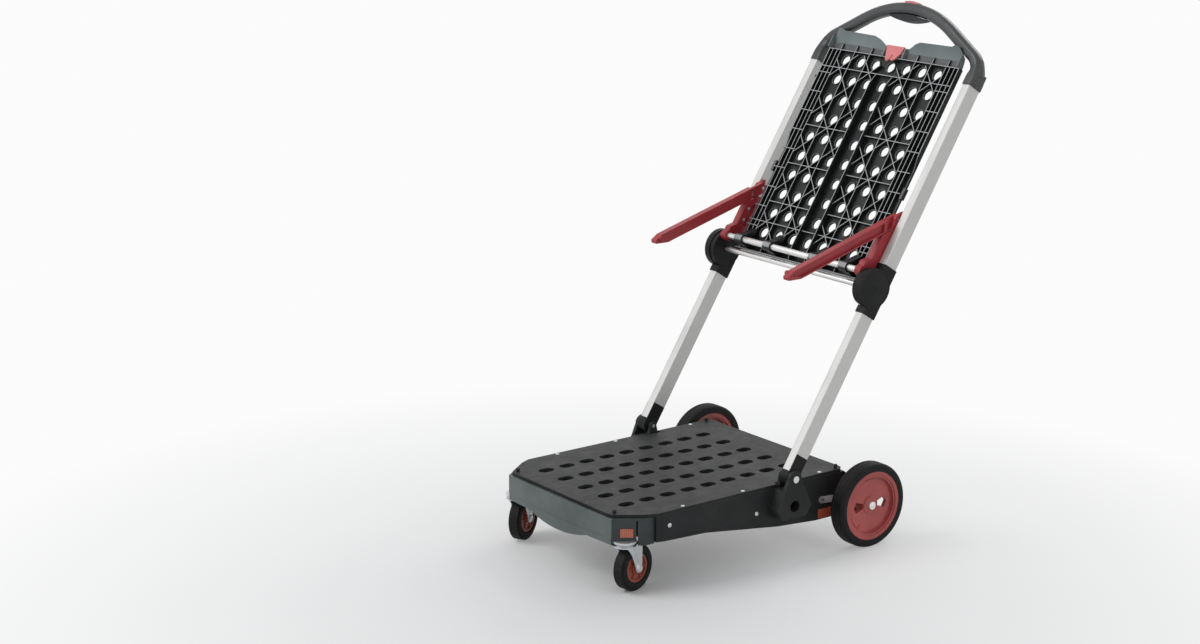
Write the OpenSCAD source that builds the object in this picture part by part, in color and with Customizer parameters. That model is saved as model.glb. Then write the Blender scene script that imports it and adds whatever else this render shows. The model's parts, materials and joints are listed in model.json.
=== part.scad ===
// Folding shopping cart: deck on two castors and two large wheels, a frame of two
// aluminium rails that folds at the deck and at the knees, and a lattice shelf.
// X runs across the cart, Y runs from the front to the back, Z is up.

/* [Frame] */
// Width across the outer faces of the rails
frame_w = 474; // [460:1:490]
// Lean of the open frame, back from upright
lean = 32.6; // [30:0.1:35]
// Length of a leg, from the deck hinge to the knee
leg_len = 408; // [400:1:420]
// Length of a rail above the knee
rail_len = 470; // [466:1:490]
// Width of a rail or a leg
rail_w = 20; // [18:0.5:22]
// Depth of a rail or a leg
rail_d = 34; // [30:0.5:36]
// Wall of a rail or a leg
rail_wall = 2; // [1.5:0.1:3]
// Radius of the long edges of a rail
rail_r = 2.5; // [1:0.1:3.5]
// Half of the slot between a leg and the rail folded onto it
fold_gap = 1.6; // [1.4:0.1:2.5]
// Radius of the round knee cover
knee_r = 40; // [38:0.5:42]
// Diameter of the knee shaft
knee_pin_d = 12; // [10:0.5:13]

/* [Deck] */
// Height of the deck surface
deck_top = 157; // [153:0.5:158]
// Thickness of the deck plate
deck_t = 7; // [5:0.5:8]
// Length of the deck
deck_len = 552; // [545:1:556]
// Gap between the deck side and a leg
leg_gap = 4.5; // [3:0.1:5.5]
// Thickness of a side beam
beam_t = 14.5; // [12:0.5:18]
// Distance from the front face to the deck hinge
pivot_y = 400; // [395:1:405]
// Height of the deck hinge
pivot_z = 172; // [171:0.5:178]
// Diameter of the deck hinge pins
pivot_pin_d = 8; // [6:0.5:9]
// Width of the front bumper face
bumper_w = 340; // [330:1:346]
// Height of the bumper face, from the seam to the top
bumper_h = 40; // [36:1:41]
// Wall of the bumper and its lip
bumper_wall = 4; // [3:0.5:5]

/* [Wheels] */
// Diameter of a rear wheel
wheel_d = 174; // [168:1:180]
// Width of a rear tyre
tyre_w = 34.5; // [30:0.5:38]
// Diameter of a rear rim
rim_d = 142; // [130:1:148]
// Distance from the front face to the rear axle
axle_y = 585; // [580:1:590]
// Diameter of the rear axle
axle_d = 12; // [10:0.5:14]
// Diameter of a castor wheel
castor_d = 92; // [88:1:93]
// Width of a castor tyre
castor_w = 25; // [22:0.5:27]
// Trail of a castor
trail = 24; // [20:0.5:27]
// Distance from the middle to a castor stem
castor_x = 178; // [174:1:180]
// Distance from the front face to the castor stems
castor_y = 31; // [30:0.5:36]
// Way that the right castor is turned
castor_turn_r = 12; // [-40:1:40]
// Way that the left castor is turned
castor_turn_l = 27; // [-40:1:40]

/* [Shelf] */
// Gap between the shelf's side and the arm beside it
shelf_gap = 6; // [5.5:0.5:9]
// Depth of the shelf, over the plate and the ribs
shelf_d = 12; // [11:0.5:13]
// Thickness of the shelf plate
shelf_t = 2.5; // [2:0.1:4]
// Spacing of the holes across the shelf
hole_x = 45.5; // [43:0.1:45.5]
// Spacing of the holes along the shelf
hole_z = 45.5; // [43:0.1:45.6]
// Diameter of the holes
hole_d = 22; // [18:0.5:23]
// Wall of the collar round each hole
collar_t = 1.6; // [1.2:0.1:2]
// Height of the collar above the plate
collar_h = 2.6; // [2:0.1:4]
// Thickness of the ribs
rib_t = 1.8; // [1.4:0.1:2.4]
// Diameter of the cross rod that the shelf turns on
rod_d = 13; // [11:0.5:14]
// Height of the cross rod above the knee
rod_z = 23; // [22:0.5:25]
// Distance of the cross rod in front of the knee
rod_y = 24.4; // [23.5:0.1:25.5]

/* [Arms] */
// Thickness of a red bracket or arm across the cart
arm_t = 16; // [14:0.5:17]
// Height of an arm's flat side
arm_h = 22; // [18:0.5:24]
// Length of an arm from its pin
arm_len = 300; // [294:1:304]
// Slope of an open arm below level
arm_drop = 15.8; // [14:0.1:17]
// Diameter of the arm pins
arm_pin_d = 6; // [5:0.5:8]
// Height of the arm pin above the knee
arm_z = 149.6; // [146:0.1:152]

/* [Handle] */
// Thickness of the handle tube
tube_w = 26; // [24:0.5:28]
// Depth of the handle tube
tube_d = 24; // [22:0.5:26]
// Forward lean of the handle from the rails
handle_lean = 14.5; // [12:0.5:16]
// Radius of the handle's crown
crown_r = 261; // [240:1:280]
// Radius of the handle's corners
corner_r = 47; // [42:0.5:50]
// Slope of the handle's straight parts
arch_slope = 29.5; // [28:0.5:30.5]

/* [Clearances] */
// Radial clearance of a pin or shaft in its bore
fit = 0.05; // [0.02:0.01:0.1]
// Gap between curved faces of fixed pieces
seat = 0.3; // [0.2:0.05:0.4]

/* [Hidden] */
$fn = 64;

// the cart's middle, so that its box stands centred on the origin
mid_y = 464;

// widths across the cart
half_w = frame_w / 2;
rail_in = half_w - rail_w;
rail_mid = half_w - rail_w / 2;
deck_half = rail_in - leg_gap;
beam_in = deck_half - beam_t;
wheel_gap = 2.5;
wheel_in = half_w + wheel_gap;
wheel_out = wheel_in + tyre_w;
wheel_r = wheel_d / 2;
castor_r = castor_d / 2;

// the knee, from the deck hinge up the leg
knee_back = fold_gap + rail_d / 2;
knee_y = pivot_y + leg_len * sin(lean) - knee_back * cos(lean);
knee_z = pivot_z + leg_len * cos(lean) + knee_back * sin(lean);
knee_split = rail_in + rail_w / 2;
knee_out = half_w + 3.5;
cheek_gap = 0.4;
sleeve_t = 1;
sleeve_len = 54;
rail_z0 = knee_r + 1.5;

// deck
under_deck = deck_top - deck_t;
seam_z = under_deck - bumper_h;
block_z0 = 97;
bow_r = 3000;
corner_x = 207;
deck_y0 = 8;
deck_y1 = deck_y0 + deck_len;
ear_r = 16;
cheek_t = 8;
cheek_x = half_w + 1.5;

// lane of an arm, between the shelf and the rail
lane_out = rail_in - 1.5;
lane_in = lane_out - arm_t;
lane_mid = lane_in + arm_t / 2;

// shelf
shelf_half = lane_in - shelf_gap;
shelf_y0 = -2;
shelf_y1 = shelf_y0 + shelf_d;
shelf_z0 = 9;
row0_z = rail_len - 4;
rows = 10;
cols = 7;
shelf_z1 = row0_z + 20;
bay_in = 24;
bay_out = shelf_half - 36.5;
collar_r = hole_d / 2 + collar_t;
block_z = 191.84;
hub_r = rod_d / 2 + 4;

// arms
arm_y = 4.2;
boss_r = arm_h / 2;
peg_r = 5.5;
peg_a = arm_len - 14;
peg_b = arm_h / 2 - 5.8;

// handle
arch_z = rail_len + 11;
arch_y = fold_gap + rail_d / 2;
turn = 90 - arch_slope;
leg_x = half_w - 9.5;
arc_x = leg_x - corner_r * (1 - cos(turn));
arc_t = corner_r * sin(turn);
crown_x = crown_r * sin(arch_slope);
run = (arc_x - crown_x) / cos(arch_slope);
crown_t = arc_t + run * sin(arch_slope) + crown_r * (1 - cos(arch_slope));

// helpers

// a box between two corners
module box(x0, x1, y0, y1, z0, z1) {
  translate([x0, y0, z0]) cube([x1 - x0, y1 - y0, z1 - z0]);
}

// a (y, z) outline run across the cart
module across(x0, x1) {
  translate([x0, 0, 0]) rotate([90, 0, 90]) linear_extrude(x1 - x0) children();
}

// an (x, z) outline run from front to back
module along(y0, y1) {
  translate([0, y1, 0]) rotate([90, 0, 0]) linear_extrude(y1 - y0) children();
}

// a cylinder across the cart
module pin(x0, x1, y, z, r) {
  translate([x0, y, z]) rotate([0, 90, 0]) cylinder(h = x1 - x0, r = r);
}

// a rectangle with rounded corners, about its middle
module rounded(w, h, r) {
  square([w - 2 * r, h], center = true);
  square([w, h - 2 * r], center = true);
  for (x = [-1, 1], y = [-1, 1])
    translate([x * (w / 2 - r), y * (h / 2 - r)]) circle(r);
}

// a bar outline with round ends between two points
module bar(a, b, r) {
  len = norm(b - a);
  translate(a) circle(r);
  translate(b) circle(r);
  translate(a) rotate(atan2(b[1] - a[1], b[0] - a[0]))
    translate([0, -r]) square([len, 2 * r]);
}

module cart() { translate([0, -mid_y, 0]) children(); }
module at_hinge() { cart() translate([0, pivot_y, pivot_z]) rotate([-lean, 0, 0]) children(); }
module at_knee() { cart() translate([0, knee_y, knee_z]) rotate([-lean, 0, 0]) children(); }
module at_arch() { at_knee() translate([0, arch_y, arch_z]) rotate([handle_lean, 0, 0]) children(); }
module at_arm() {
  at_knee() translate([0, arm_y, arm_z]) rotate([lean + arm_drop, 0, 0]) children();
}
module left() { mirror([1, 0, 0]) children(); }

// deck

// the bowed front face in plan, set back by inset
module bow(inset, w, depth) {
  intersection() {
    translate([0, bow_r + inset]) circle(bow_r, $fn = 360);
    translate([-w / 2, -1]) square([w, depth + 1]);
  }
}

module bow_wall(inset, w, t) {
  difference() {
    bow(inset, w, 26);
    translate([0, bow_r + inset + t]) circle(bow_r, $fn = 360);
  }
}

module bumper_face() {
  color([0.40, 0.43, 0.43]) cart() {
    translate([0, 0, seam_z]) linear_extrude(bumper_h) bow_wall(0, bumper_w, bumper_wall);
    difference() {
      translate([0, 0, under_deck - 3]) linear_extrude(3)
        difference() {
          bow(bumper_wall - 1, bumper_w - 44, 26);
          translate([0, 40]) circle(r = 22);
        }
      box(-castor_x + 29, castor_x - 29, 22, 30, under_deck - 4, under_deck + 1);
    }
    for (x = [-96, -48, 0, 48, 96])
      box(x - 1.5, x + 1.5, bumper_wall - 0.2, 20, seam_z + 1, under_deck - 2.5);
  }
}

// the bow that hangs below the seam between the castors
module bumper_lip() {
  lip_w = bumper_w - 4;
  dip = 13.5;
  dip_r = 320;
  color([0.37, 0.40, 0.40]) cart()
    intersection() {
      translate([0, 0, block_z0 - dip - 1])
        linear_extrude(seam_z - 0.6 - block_z0 + dip + 1) bow_wall(1, lip_w, bumper_wall);
      along(-1, 30) {
        translate([-lip_w / 2, block_z0 + 1]) square([lip_w, seam_z - block_z0]);
        intersection() {
          translate([0, block_z0 - dip + dip_r]) circle(dip_r, $fn = 240);
          translate([-lip_w / 2, block_z0 - dip]) square([lip_w, 20]);
        }
      }
    }
}

// plan of a corner block: a bowed front that turns back to the side
module corner_plan() {
  front = 6;
  side = bumper_w / 2;
  difference() {
    union() {
      translate([150, front]) square([side - 150 - 6, 80 - front]);
      polygon([[side - 8, front], [side + 0.4, 6.4], [corner_x - 4, 52], [corner_x, 60],
        [corner_x, 80], [side - 8, 80]]);
      translate([side - 4, 11]) circle(6.4);
    }
    // cleared behind the bumper's wall
    difference() {
      square([side + 0.4, 20]);
      translate([0, bow_r + 1 + bumper_wall + seat]) circle(bow_r, $fn = 360);
    }
  }
}

module corner_block() {
  pocket_z = block_z0 + 9;
  difference() {
    translate([0, 0, block_z0]) linear_extrude(under_deck - block_z0) corner_plan();
    translate([castor_x, castor_y, block_z0 - 1]) cylinder(h = 10, r = 24);
    box(150 + 4, corner_x - 8, 44, 76, block_z0 - 1, under_deck - 4);
    reflector_cut();
  }
}

// flat recess for a reflector in the turned corner face
module on_corner() {
  a = [bumper_w / 2 + 0.4, 6.4];
  b = [corner_x - 4, 52];
  translate([(a[0] + b[0]) / 2, (a[1] + b[1]) / 2, 122])
    rotate([0, 0, atan2(b[1] - a[1], b[0] - a[0])]) children();
}
module reflector_cut() { on_corner() box(-13, 13, -3, 1.5, -9, 9); }
module reflector() { on_corner() box(-12.6, 12.6, -0.8, 1.5, -8.6, 8.6); }

module corner_block_r() { color([0.22, 0.24, 0.25]) cart() corner_block(); }
module corner_block_l() { color([0.22, 0.24, 0.25]) cart() left() corner_block(); }
module front_reflectors() {
  color([0.76, 0.30, 0.14]) cart() {
    reflector();
    left() reflector();
  }
}

// plan of the deck tray
module deck_plan() {
  polygon([[-bumper_w / 2 + 4, deck_y0 + 3], [-150, deck_y0], [150, deck_y0],
    [bumper_w / 2 - 4, deck_y0 + 3], [corner_x - 6, 58], [deck_half, 82],
    [deck_half, deck_y1 - 10], [deck_half - 10, deck_y1], [10 - deck_half, deck_y1],
    [-deck_half, deck_y1 - 10], [-deck_half, 82], [6 - corner_x, 58]]);
}

module deck_tray() {
  slot_n = 9;
  slot_pitch = (deck_len - 96) / slot_n;
  slot_half = (slot_pitch - 16 - hole_d) / 2;
  lane = [-132, -66, 0, 66, 132];
  color([0.10, 0.10, 0.11]) cart() {
    translate([0, 0, under_deck]) linear_extrude(deck_t)
      difference() {
        deck_plan();
        for (x = lane, n = [0 : slot_n - 1])
          translate([x, deck_y0 + 62 + n * slot_pitch])
            bar([0, -slot_half], [0, slot_half], hole_d / 2);
        for (m = [-1, 1])
          translate([m * (deck_half - 5), pivot_y]) square([11, 2 * ear_r + 2], center = true);
      }
    // skirt and ribs below the plate
    translate([0, 0, under_deck - 20]) linear_extrude(20.5)
      for (x = [-165, -99, -33, 33, 99, 165])
        translate([x - rib_t, 84]) square([2 * rib_t, deck_y1 - 100]);
    translate([0, 0, under_deck - 20]) linear_extrude(20.5)
      for (n = [1 : 2 : slot_n])
        translate([-beam_in, deck_y0 + 62 + (n - 0.5) * slot_pitch - rib_t])
          square([2 * beam_in, 2 * rib_t]);
  }
}

// side outline of a beam: deeper towards the rear wheel
module beam_profile() {
  polygon([[80.3, under_deck], [80.3, 100], [100, 98], [200, 94], [386, 68], [486, 60],
    [606, 60], [616, 70], [616, 104], [596, 122], [deck_y1, under_deck]]);
}

module side_beam() {
  color([0.12, 0.12, 0.13]) {
    difference() {
      union() {
        across(beam_in, deck_half) beam_profile();
        // inner ear of the leg hinge
        across(deck_half - 8, deck_half) intersection() {
          union() {
            translate([pivot_y, pivot_z]) circle(7.5);
            translate([pivot_y - 13, 120]) square([26, under_deck - 118]);
            polygon([[pivot_y - 13, under_deck], [pivot_y - 6.6, pivot_z + 3.4],
              [pivot_y + 6.6, pivot_z + 3.4], [pivot_y + 13, under_deck]]);
          }
          translate([pivot_y - 50, 100]) square(100);
        }
        // floor and outer cheek of the leg hinge
        across(deck_half - 1, cheek_x + cheek_t) difference() {
          polygon([[pivot_y - 44, 112], [pivot_y - 26, 149], [pivot_y + 26, 149],
            [pivot_y + 44, 112], [pivot_y + 30, 92], [pivot_y - 30, 92]]);
          translate([pivot_y, 116]) circle(12);
        }
        across(cheek_x, cheek_x + cheek_t) {
          translate([pivot_y, pivot_z]) circle(ear_r);
          polygon([[pivot_y - ear_r, pivot_z], [pivot_y - 26, 149], [pivot_y - 26, 140],
            [pivot_y + 26, 140], [pivot_y + 26, 149], [pivot_y + ear_r, pivot_z]]);
        }
        // sleeve that the axle leaves the beam through
        pin(deck_half - 1, wheel_in - 2, axle_y, wheel_r, axle_d / 2 + 9);
      }
      pin(beam_in - 1, wheel_in, axle_y, wheel_r, axle_d / 2 + fit);
      pin(deck_half - 9, cheek_x + cheek_t + 1, pivot_y, pivot_z, pivot_pin_d / 2 + fit);
      // pockets inside the beam that lighten it
      for (y = [110, 178, 246])
        box(beam_in - 1, beam_in + 6, y, y + 60, 108, under_deck - 6);
      box(deck_half - 1.5, deck_half + 1, 492, 528, 62, 82);
    }
  }
}
module side_beam_r() { cart() side_beam(); }
module side_beam_l() { cart() left() side_beam(); }

module rear_reflectors() {
  color([0.76, 0.30, 0.14]) cart()
    for (m = [0, 1]) mirror([m, 0, 0])
      box(deck_half - 1.5, deck_half + 1.2, 492.4, 527.6, 62.4, 81.6);
}

// plated hook that holds the legs of the folded cart
module fold_catches() {
  color([0.72, 0.74, 0.76]) cart()
    for (m = [0, 1]) mirror([m, 0, 0])
      difference() {
        across(deck_half, deck_half + 2.5)
          bar([500, 101], [532, 98], 7);
        pin(deck_half - 1, deck_half + 4, 504, 100.6, 2.6);
      }
}

module axle_housing() {
  h = 17;
  color([0.14, 0.14, 0.15]) cart()
    difference() {
      union() {
        across(-beam_in, beam_in) difference() {
          translate([axle_y, wheel_r]) rounded(34, 34, 6);
          translate([axle_y, wheel_r]) rounded(24, 24, 3);
        }
        for (x = [-150, -75, 0, 75, 150])
          across(x - 4, x + 4) translate([axle_y, wheel_r]) rounded(26, 26, 2);
        // posts up to the rear edge of the deck
        for (x = [-165, -99, 99, 165])
          across(x - rib_t, x + rib_t)
            polygon([[axle_y - 16, wheel_r + 10], [axle_y + 4, wheel_r + h - 0.2],
              [deck_y1 - 30, under_deck - 20], [deck_y1 - 60, under_deck - 20]]);
      }
      pin(-beam_in - 1, beam_in + 1, axle_y, wheel_r, axle_d / 2 + fit);
    }
}

module rear_axle() {
  color([0.70, 0.71, 0.73]) cart()
    pin(-wheel_out + 3, wheel_out - 3, axle_y, wheel_r, axle_d / 2);
}

module pivot_pins() {
  color([0.70, 0.71, 0.73]) cart()
    for (m = [0, 1]) mirror([m, 0, 0]) {
      pin(deck_half - 8, cheek_x + cheek_t, pivot_y, pivot_z, pivot_pin_d / 2);
      pin(cheek_x + cheek_t, cheek_x + cheek_t + 3, pivot_y, pivot_z, pivot_pin_d / 2 + 3);
    }
}

// knobs that keep a crate from sliding
module crate_knobs() {
  color([0.09, 0.09, 0.10]) cart()
    for (m = [-1, 1], p = [[160, 20, 7], [deck_half - 8, deck_y1 - 16, 8]])
      translate([m * p[0], p[1], deck_top]) {
        cylinder(h = p[2] - 3, r = 3.4);
        translate([0, 0, p[2] - 3]) cylinder(h = 3, r1 = 4.6, r2 = 3.4);
      }
}

// plates with a ball race, which the forks turn in
module castor_seats() {
  color([0.66, 0.68, 0.70]) cart()
    for (m = [-1, 1]) translate([m * castor_x, castor_y, 0])
      difference() {
        union() {
          translate([0, 0, block_z0 + 5]) cylinder(h = 4, r = 23);
          translate([0, 0, block_z0 + 1]) cylinder(h = 5, r = 17);
        }
        translate([0, 0, block_z0 - 1]) cylinder(h = 20, r = 5 + fit);
      }
}

module deck_screws() {
  color([0.6, 0.61, 0.62]) cart()
    for (m = [0, 1]) mirror([m, 0, 0]) {
      for (y = [150, 300, 500])
        translate([beam_in + beam_t / 2, y, deck_top]) cylinder(h = 1.2, r = 4);
      for (y = [112, 330]) pin(deck_half, deck_half + 1.6, y, 128 - (y - 112) * 0.1, 4.5);
    }
}

// castors

module castor_place(m, turn_by) {
  cart() translate([m * castor_x, castor_y, 0]) rotate([0, 0, turn_by]) children();
}

crown_z = block_z0 - 0.6;
fork_in = castor_w / 2 + 2;
fork_t = 2.2;

// pressed crown, two tapering cheeks and the stem
module fork() {
  color([0.72, 0.74, 0.76]) {
    difference() {
      union() {
        translate([0, 0, crown_z - fork_t]) linear_extrude(fork_t) {
          circle(r = fork_in + fork_t + 6);
          translate([-fork_in - fork_t, -4]) square([2 * (fork_in + fork_t), trail + 12]);
        }
        translate([0, 0, crown_z - 0.1]) cylinder(h = 1.5, r = 15);
      }
      translate([0, 0, crown_z - 6]) cylinder(h = 5, r = 5);
    }
    translate([0, 0, crown_z - fork_t]) cylinder(h = 11, r = 5);
    translate([0, 0, crown_z - fork_t - 0.8]) cylinder(h = 1, r = 8);
    for (m = [0, 1]) mirror([m, 0, 0])
      difference() {
        across(fork_in, fork_in + fork_t) {
          polygon([[-4, crown_z - 0.1], [trail + 8, crown_z - 0.1],
            [trail + 9, crown_z - 12], [trail + 8.4, castor_r + 8], [trail + 7, castor_r - 4],
            [trail - 6, castor_r - 5], [2, crown_z - 18], [-10, crown_z - 3]]);
          translate([trail, castor_r]) circle(8.6);
        }
        pin(fork_in - 1, fork_in + fork_t + 1, trail, castor_r, 4 + fit);
        across(fork_in + fork_t - 0.8, fork_in + fork_t + 1)
          polygon([[3, crown_z - 6], [10, crown_z - 6], [trail - 2, castor_r + 12],
            [trail - 5, castor_r + 12]]);
      }
  }
}
module castor_fork_r() { castor_place(1, castor_turn_r) fork(); }
module castor_fork_l() { castor_place(-1, castor_turn_l) fork(); }

// tyre with rounded shoulders, turned about its axle
module castor_tyre() {
  r = castor_r;
  w = castor_w;
  color([0.07, 0.07, 0.08])
    translate([0, trail, r]) rotate([0, 90, 0]) rotate_extrude($fn = 96)
      difference() {
        union() {
          translate([r - 17, -w / 2 + 2]) square([11.5, w - 4]);
          translate([r - 5.5, 0]) intersection() {
            scale([1, 1]) circle(r = w / 2 - 1.2);
            translate([0, -w / 2]) square([5.5, w]);
          }
          translate([r - 14, -w / 2]) square([8, w]);
        }
        translate([r - 5.5, 9.5]) square([8, 8]);
        translate([r - 5.5, -17.5]) square([8, 8]);
      }
}
module castor_tyre_r() { castor_place(1, castor_turn_r) castor_tyre(); }
module castor_tyre_l() { castor_place(-1, castor_turn_l) castor_tyre(); }

module castor_hub() {
  r = castor_r - 17 - 0.02;
  w = castor_w;
  color([0.76, 0.33, 0.19])
    translate([0, trail, castor_r]) rotate([0, 90, 0]) rotate_extrude($fn = 96)
      difference() {
        union() {
          translate([4 + fit, -w / 2 + 1.5]) square([r - 4 - fit, w - 3]);
          translate([4 + fit, -w / 2 - 1.6]) square([6, w + 3.2]);
        }
        for (m = [-1, 1])
          translate([13, m * (w / 2 - 1.5) - (m > 0 ? 3.2 : 0)]) square([r - 17, 3.2]);
      }
}
module castor_hub_r() { castor_place(1, castor_turn_r) castor_hub(); }
module castor_hub_l() { castor_place(-1, castor_turn_l) castor_hub(); }

module castor_axle() {
  e = fork_in + fork_t;
  color([0.75, 0.76, 0.78]) {
    pin(-e, e, trail, castor_r, 4);
    for (m = [0, 1]) mirror([m, 0, 0]) translate([e, trail, castor_r]) rotate([0, 90, 0])
      cylinder(h = 3, r = 6, $fn = 6);
  }
}
module castor_axle_r() { castor_place(1, castor_turn_r) castor_axle(); }
module castor_axle_l() { castor_place(-1, castor_turn_l) castor_axle(); }

// rear wheels

module wheel_place() {
  translate([wheel_in, axle_y, wheel_r]) rotate([0, 90, 0]) children();
}

// solid tyre with a rounded tread and a bead over the rim
module tyre() {
  r = wheel_r;
  q = rim_d / 2;
  c = 7;
  color([0.06, 0.06, 0.07])
    wheel_place() rotate_extrude($fn = 128)
      difference() {
        union() {
          translate([q, 0]) square([r - q - c, tyre_w]);
          translate([q, c]) square([r - q, tyre_w - 2 * c]);
          translate([r - c, c]) circle(c);
          translate([r - c, tyre_w - c]) circle(c);
        }
        for (z = [tyre_w / 2 - 6, tyre_w / 2 + 6])
          translate([r - 0.8, z - 1]) square([2, 2]);
      }
}
module wheel_tyre_r() { cart() tyre(); }
module wheel_tyre_l() { cart() left() tyre(); }

// dished rim: outer ring, stepped face, hub, a coiled groove and two windows
module rim() {
  q = rim_d / 2 - 0.02;
  face = tyre_w - 5;
  hub = axle_d / 2 + fit;
  color([0.66, 0.30, 0.28])
    wheel_place() difference() {
      union() {
        rotate_extrude($fn = 128) {
          translate([q - 8, 4]) square([8, tyre_w - 5]);
          translate([hub, face - 12]) square([q - 8 - hub, 8]);
          translate([hub, 1]) square([12, face - 3]);
          translate([q - 12, 8]) square([5, face - 6]);
        }
        for (a = [0 : 60 : 300]) rotate([0, 0, a])
          translate([hub + 8, -2, 5]) cube([q - hub - 18, 4, face - 14]);
      }
      // groove that nearly closes and steps inwards at its end
      difference() {
        translate([0, 0, face - 5.2]) rotate_extrude(angle = 325, $fn = 128)
          translate([q - 17, 0]) square([2.4, 4]);
      }
      rotate([0, 0, 322]) translate([q - 27, -1.2, face - 5.2]) cube([12.4, 2.4, 4]);
      // two wedge windows, one each side of the hub
      for (a = [90, 270]) rotate([0, 0, a])
        translate([0, 0, -1]) linear_extrude(tyre_w + 2)
          polygon([[19, -5], [38, -12], [44, 0], [38, 12], [19, 5]]);
    }
}
module wheel_rim_r() { cart() rim(); }
module wheel_rim_l() { cart() left() rim(); }

module wheel_cap() {
  color([0.80, 0.80, 0.80])
    wheel_place() translate([0, 0, tyre_w - 7]) difference() {
      union() {
        cylinder(h = 6, r = 10);
        translate([0, 0, 6]) cylinder(h = 1, r1 = 10, r2 = 8.6);
      }
      translate([0, 0, -1]) cylinder(h = 5, r = axle_d / 2 + fit);
    }
}
module wheel_cap_r() { cart() wheel_cap(); }
module wheel_cap_l() { cart() left() wheel_cap(); }

// legs

// section of a rail or a leg, about its middle
module rail_section() {
  difference() {
    rounded(rail_w, rail_d, rail_r);
    rounded(rail_w - 2 * rail_wall, rail_d - 2 * rail_wall, rail_r / 2);
  }
}

foot_len = 46;
module leg() {
  color([0.78, 0.77, 0.75])
    difference() {
      translate([rail_mid, 0, 10]) linear_extrude(leg_len - rail_z0 - 10) rail_section();
      pin(rail_in - 1, half_w + 1, 0, 0, pivot_pin_d / 2 + 2);
    }
}
module leg_r() { at_hinge() leg(); }
module leg_l() { at_hinge() left() leg(); }

// moulded foot that the leg stands in, with the bore of the deck hinge
module leg_feet() {
  skin = 0.9;
  color([0.13, 0.13, 0.14]) at_hinge()
    for (m = [0, 1]) mirror([m, 0, 0])
      difference() {
        union() {
          pin(rail_in - skin, half_w + skin, 0, 0, rail_d / 2);
          translate([rail_mid, 0, 0]) linear_extrude(foot_len)
            rounded(rail_w + 2 * skin, rail_d, rail_r + skin / 2);
        }
        difference() {
          translate([rail_mid, 0, 10]) linear_extrude(foot_len)
            square([rail_w + 0.02, rail_d + 1], center = true);
          translate([rail_mid, 0, 0]) linear_extrude(foot_len - 10)
            rounded(rail_w - 2 * rail_wall - 0.1, rail_d - 2 * rail_wall - 0.1, rail_r / 2);
        }
        pin(rail_in - 2, half_w + 2, 0, 0, pivot_pin_d / 2 + fit);
      }
}

// knees

// outline of the sleeve over a rail end, seen from the side
module sleeve_side(z0, z1) {
  translate([fold_gap - sleeve_t, z0]) square([rail_d + 2 * sleeve_t, z1 - z0]);
}

// the rail that a knee half is fixed to, as a cut
module rail_cut(z0, z1) {
  translate([rail_mid, knee_back, z0]) linear_extrude(z1 - z0)
    rounded(rail_w + 0.04, rail_d + 0.04, rail_r);
}

// the half on the leg: outer round cover and a sleeve over the leg's end
module knee_lower() {
  color([0.12, 0.12, 0.125])
    difference() {
      union() {
        pin(knee_split + cheek_gap / 2, knee_out, 0, 0, knee_r);
        across(knee_split + cheek_gap / 2, half_w + 1.5) difference() {
          sleeve_side(-sleeve_len, -0.3);
          circle(knee_r - 1);
        }
        across(rail_in - 1.5, knee_split + 1) difference() {
          sleeve_side(-sleeve_len, -0.3);
          circle(knee_r - 1.2);
        }
        // rim that frames the cover
        difference() {
          pin(knee_out - 1, knee_out + 0.8, 0, 0, knee_r);
          pin(knee_out - 2, knee_out + 2, 0, 0, knee_r - 2.4);
        }
        pin(knee_out - 1, knee_out + 0.8, 0, 0, 5);
      }
      rail_cut(-leg_len, -rail_z0);
      pin(rail_in - 3, knee_out - 4, 0, 0, knee_pin_d / 2 + fit);
    }
}
module knee_lower_r() { at_knee() knee_lower(); }
module knee_lower_l() { at_knee() left() knee_lower(); }

// the half on the rail: inner round cheek and a sleeve over the rail's end
module knee_upper() {
  color([0.11, 0.11, 0.115])
    difference() {
      union() {
        pin(rail_in - 1.5, knee_split - cheek_gap / 2, 0, 0, knee_r - 2);
        across(rail_in - 1.5, knee_split - cheek_gap / 2) sleeve_side(0.3, sleeve_len);
        across(knee_split - 1, half_w + 1.5) difference() {
          sleeve_side(0.3, sleeve_len);
          circle(knee_r + 0.8);
        }
      }
      rail_cut(rail_z0, rail_len);
      pin(rail_in - 3, knee_split + 3, 0, 0, knee_pin_d / 2 + fit);
    }
}
module knee_upper_r() { at_knee() knee_upper(); }
module knee_upper_l() { at_knee() left() knee_upper(); }

module knee_shaft() {
  color([0.20, 0.20, 0.21]) at_knee()
    pin(-knee_out + 4.2, knee_out - 4.2, 0, 0, knee_pin_d / 2);
}

// rails

module rail() {
  color([0.80, 0.79, 0.77])
    difference() {
      translate([rail_mid, knee_back, rail_z0]) linear_extrude(rail_len - rail_z0)
        rail_section();
      // hole in the inner wall near the top
      pin(rail_in - 1, rail_in + rail_wall + 1, knee_back, rail_len - 46, 3.4);
    }
}
module rail_r() { at_knee() rail(); }
module rail_l() { at_knee() left() rail(); }

module cross_rod() {
  color([0.86, 0.86, 0.85]) at_knee()
    pin(-lane_out + 1, lane_out - 1, -rod_y, rod_z, rod_d / 2);
}

// red brackets and arms

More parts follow.
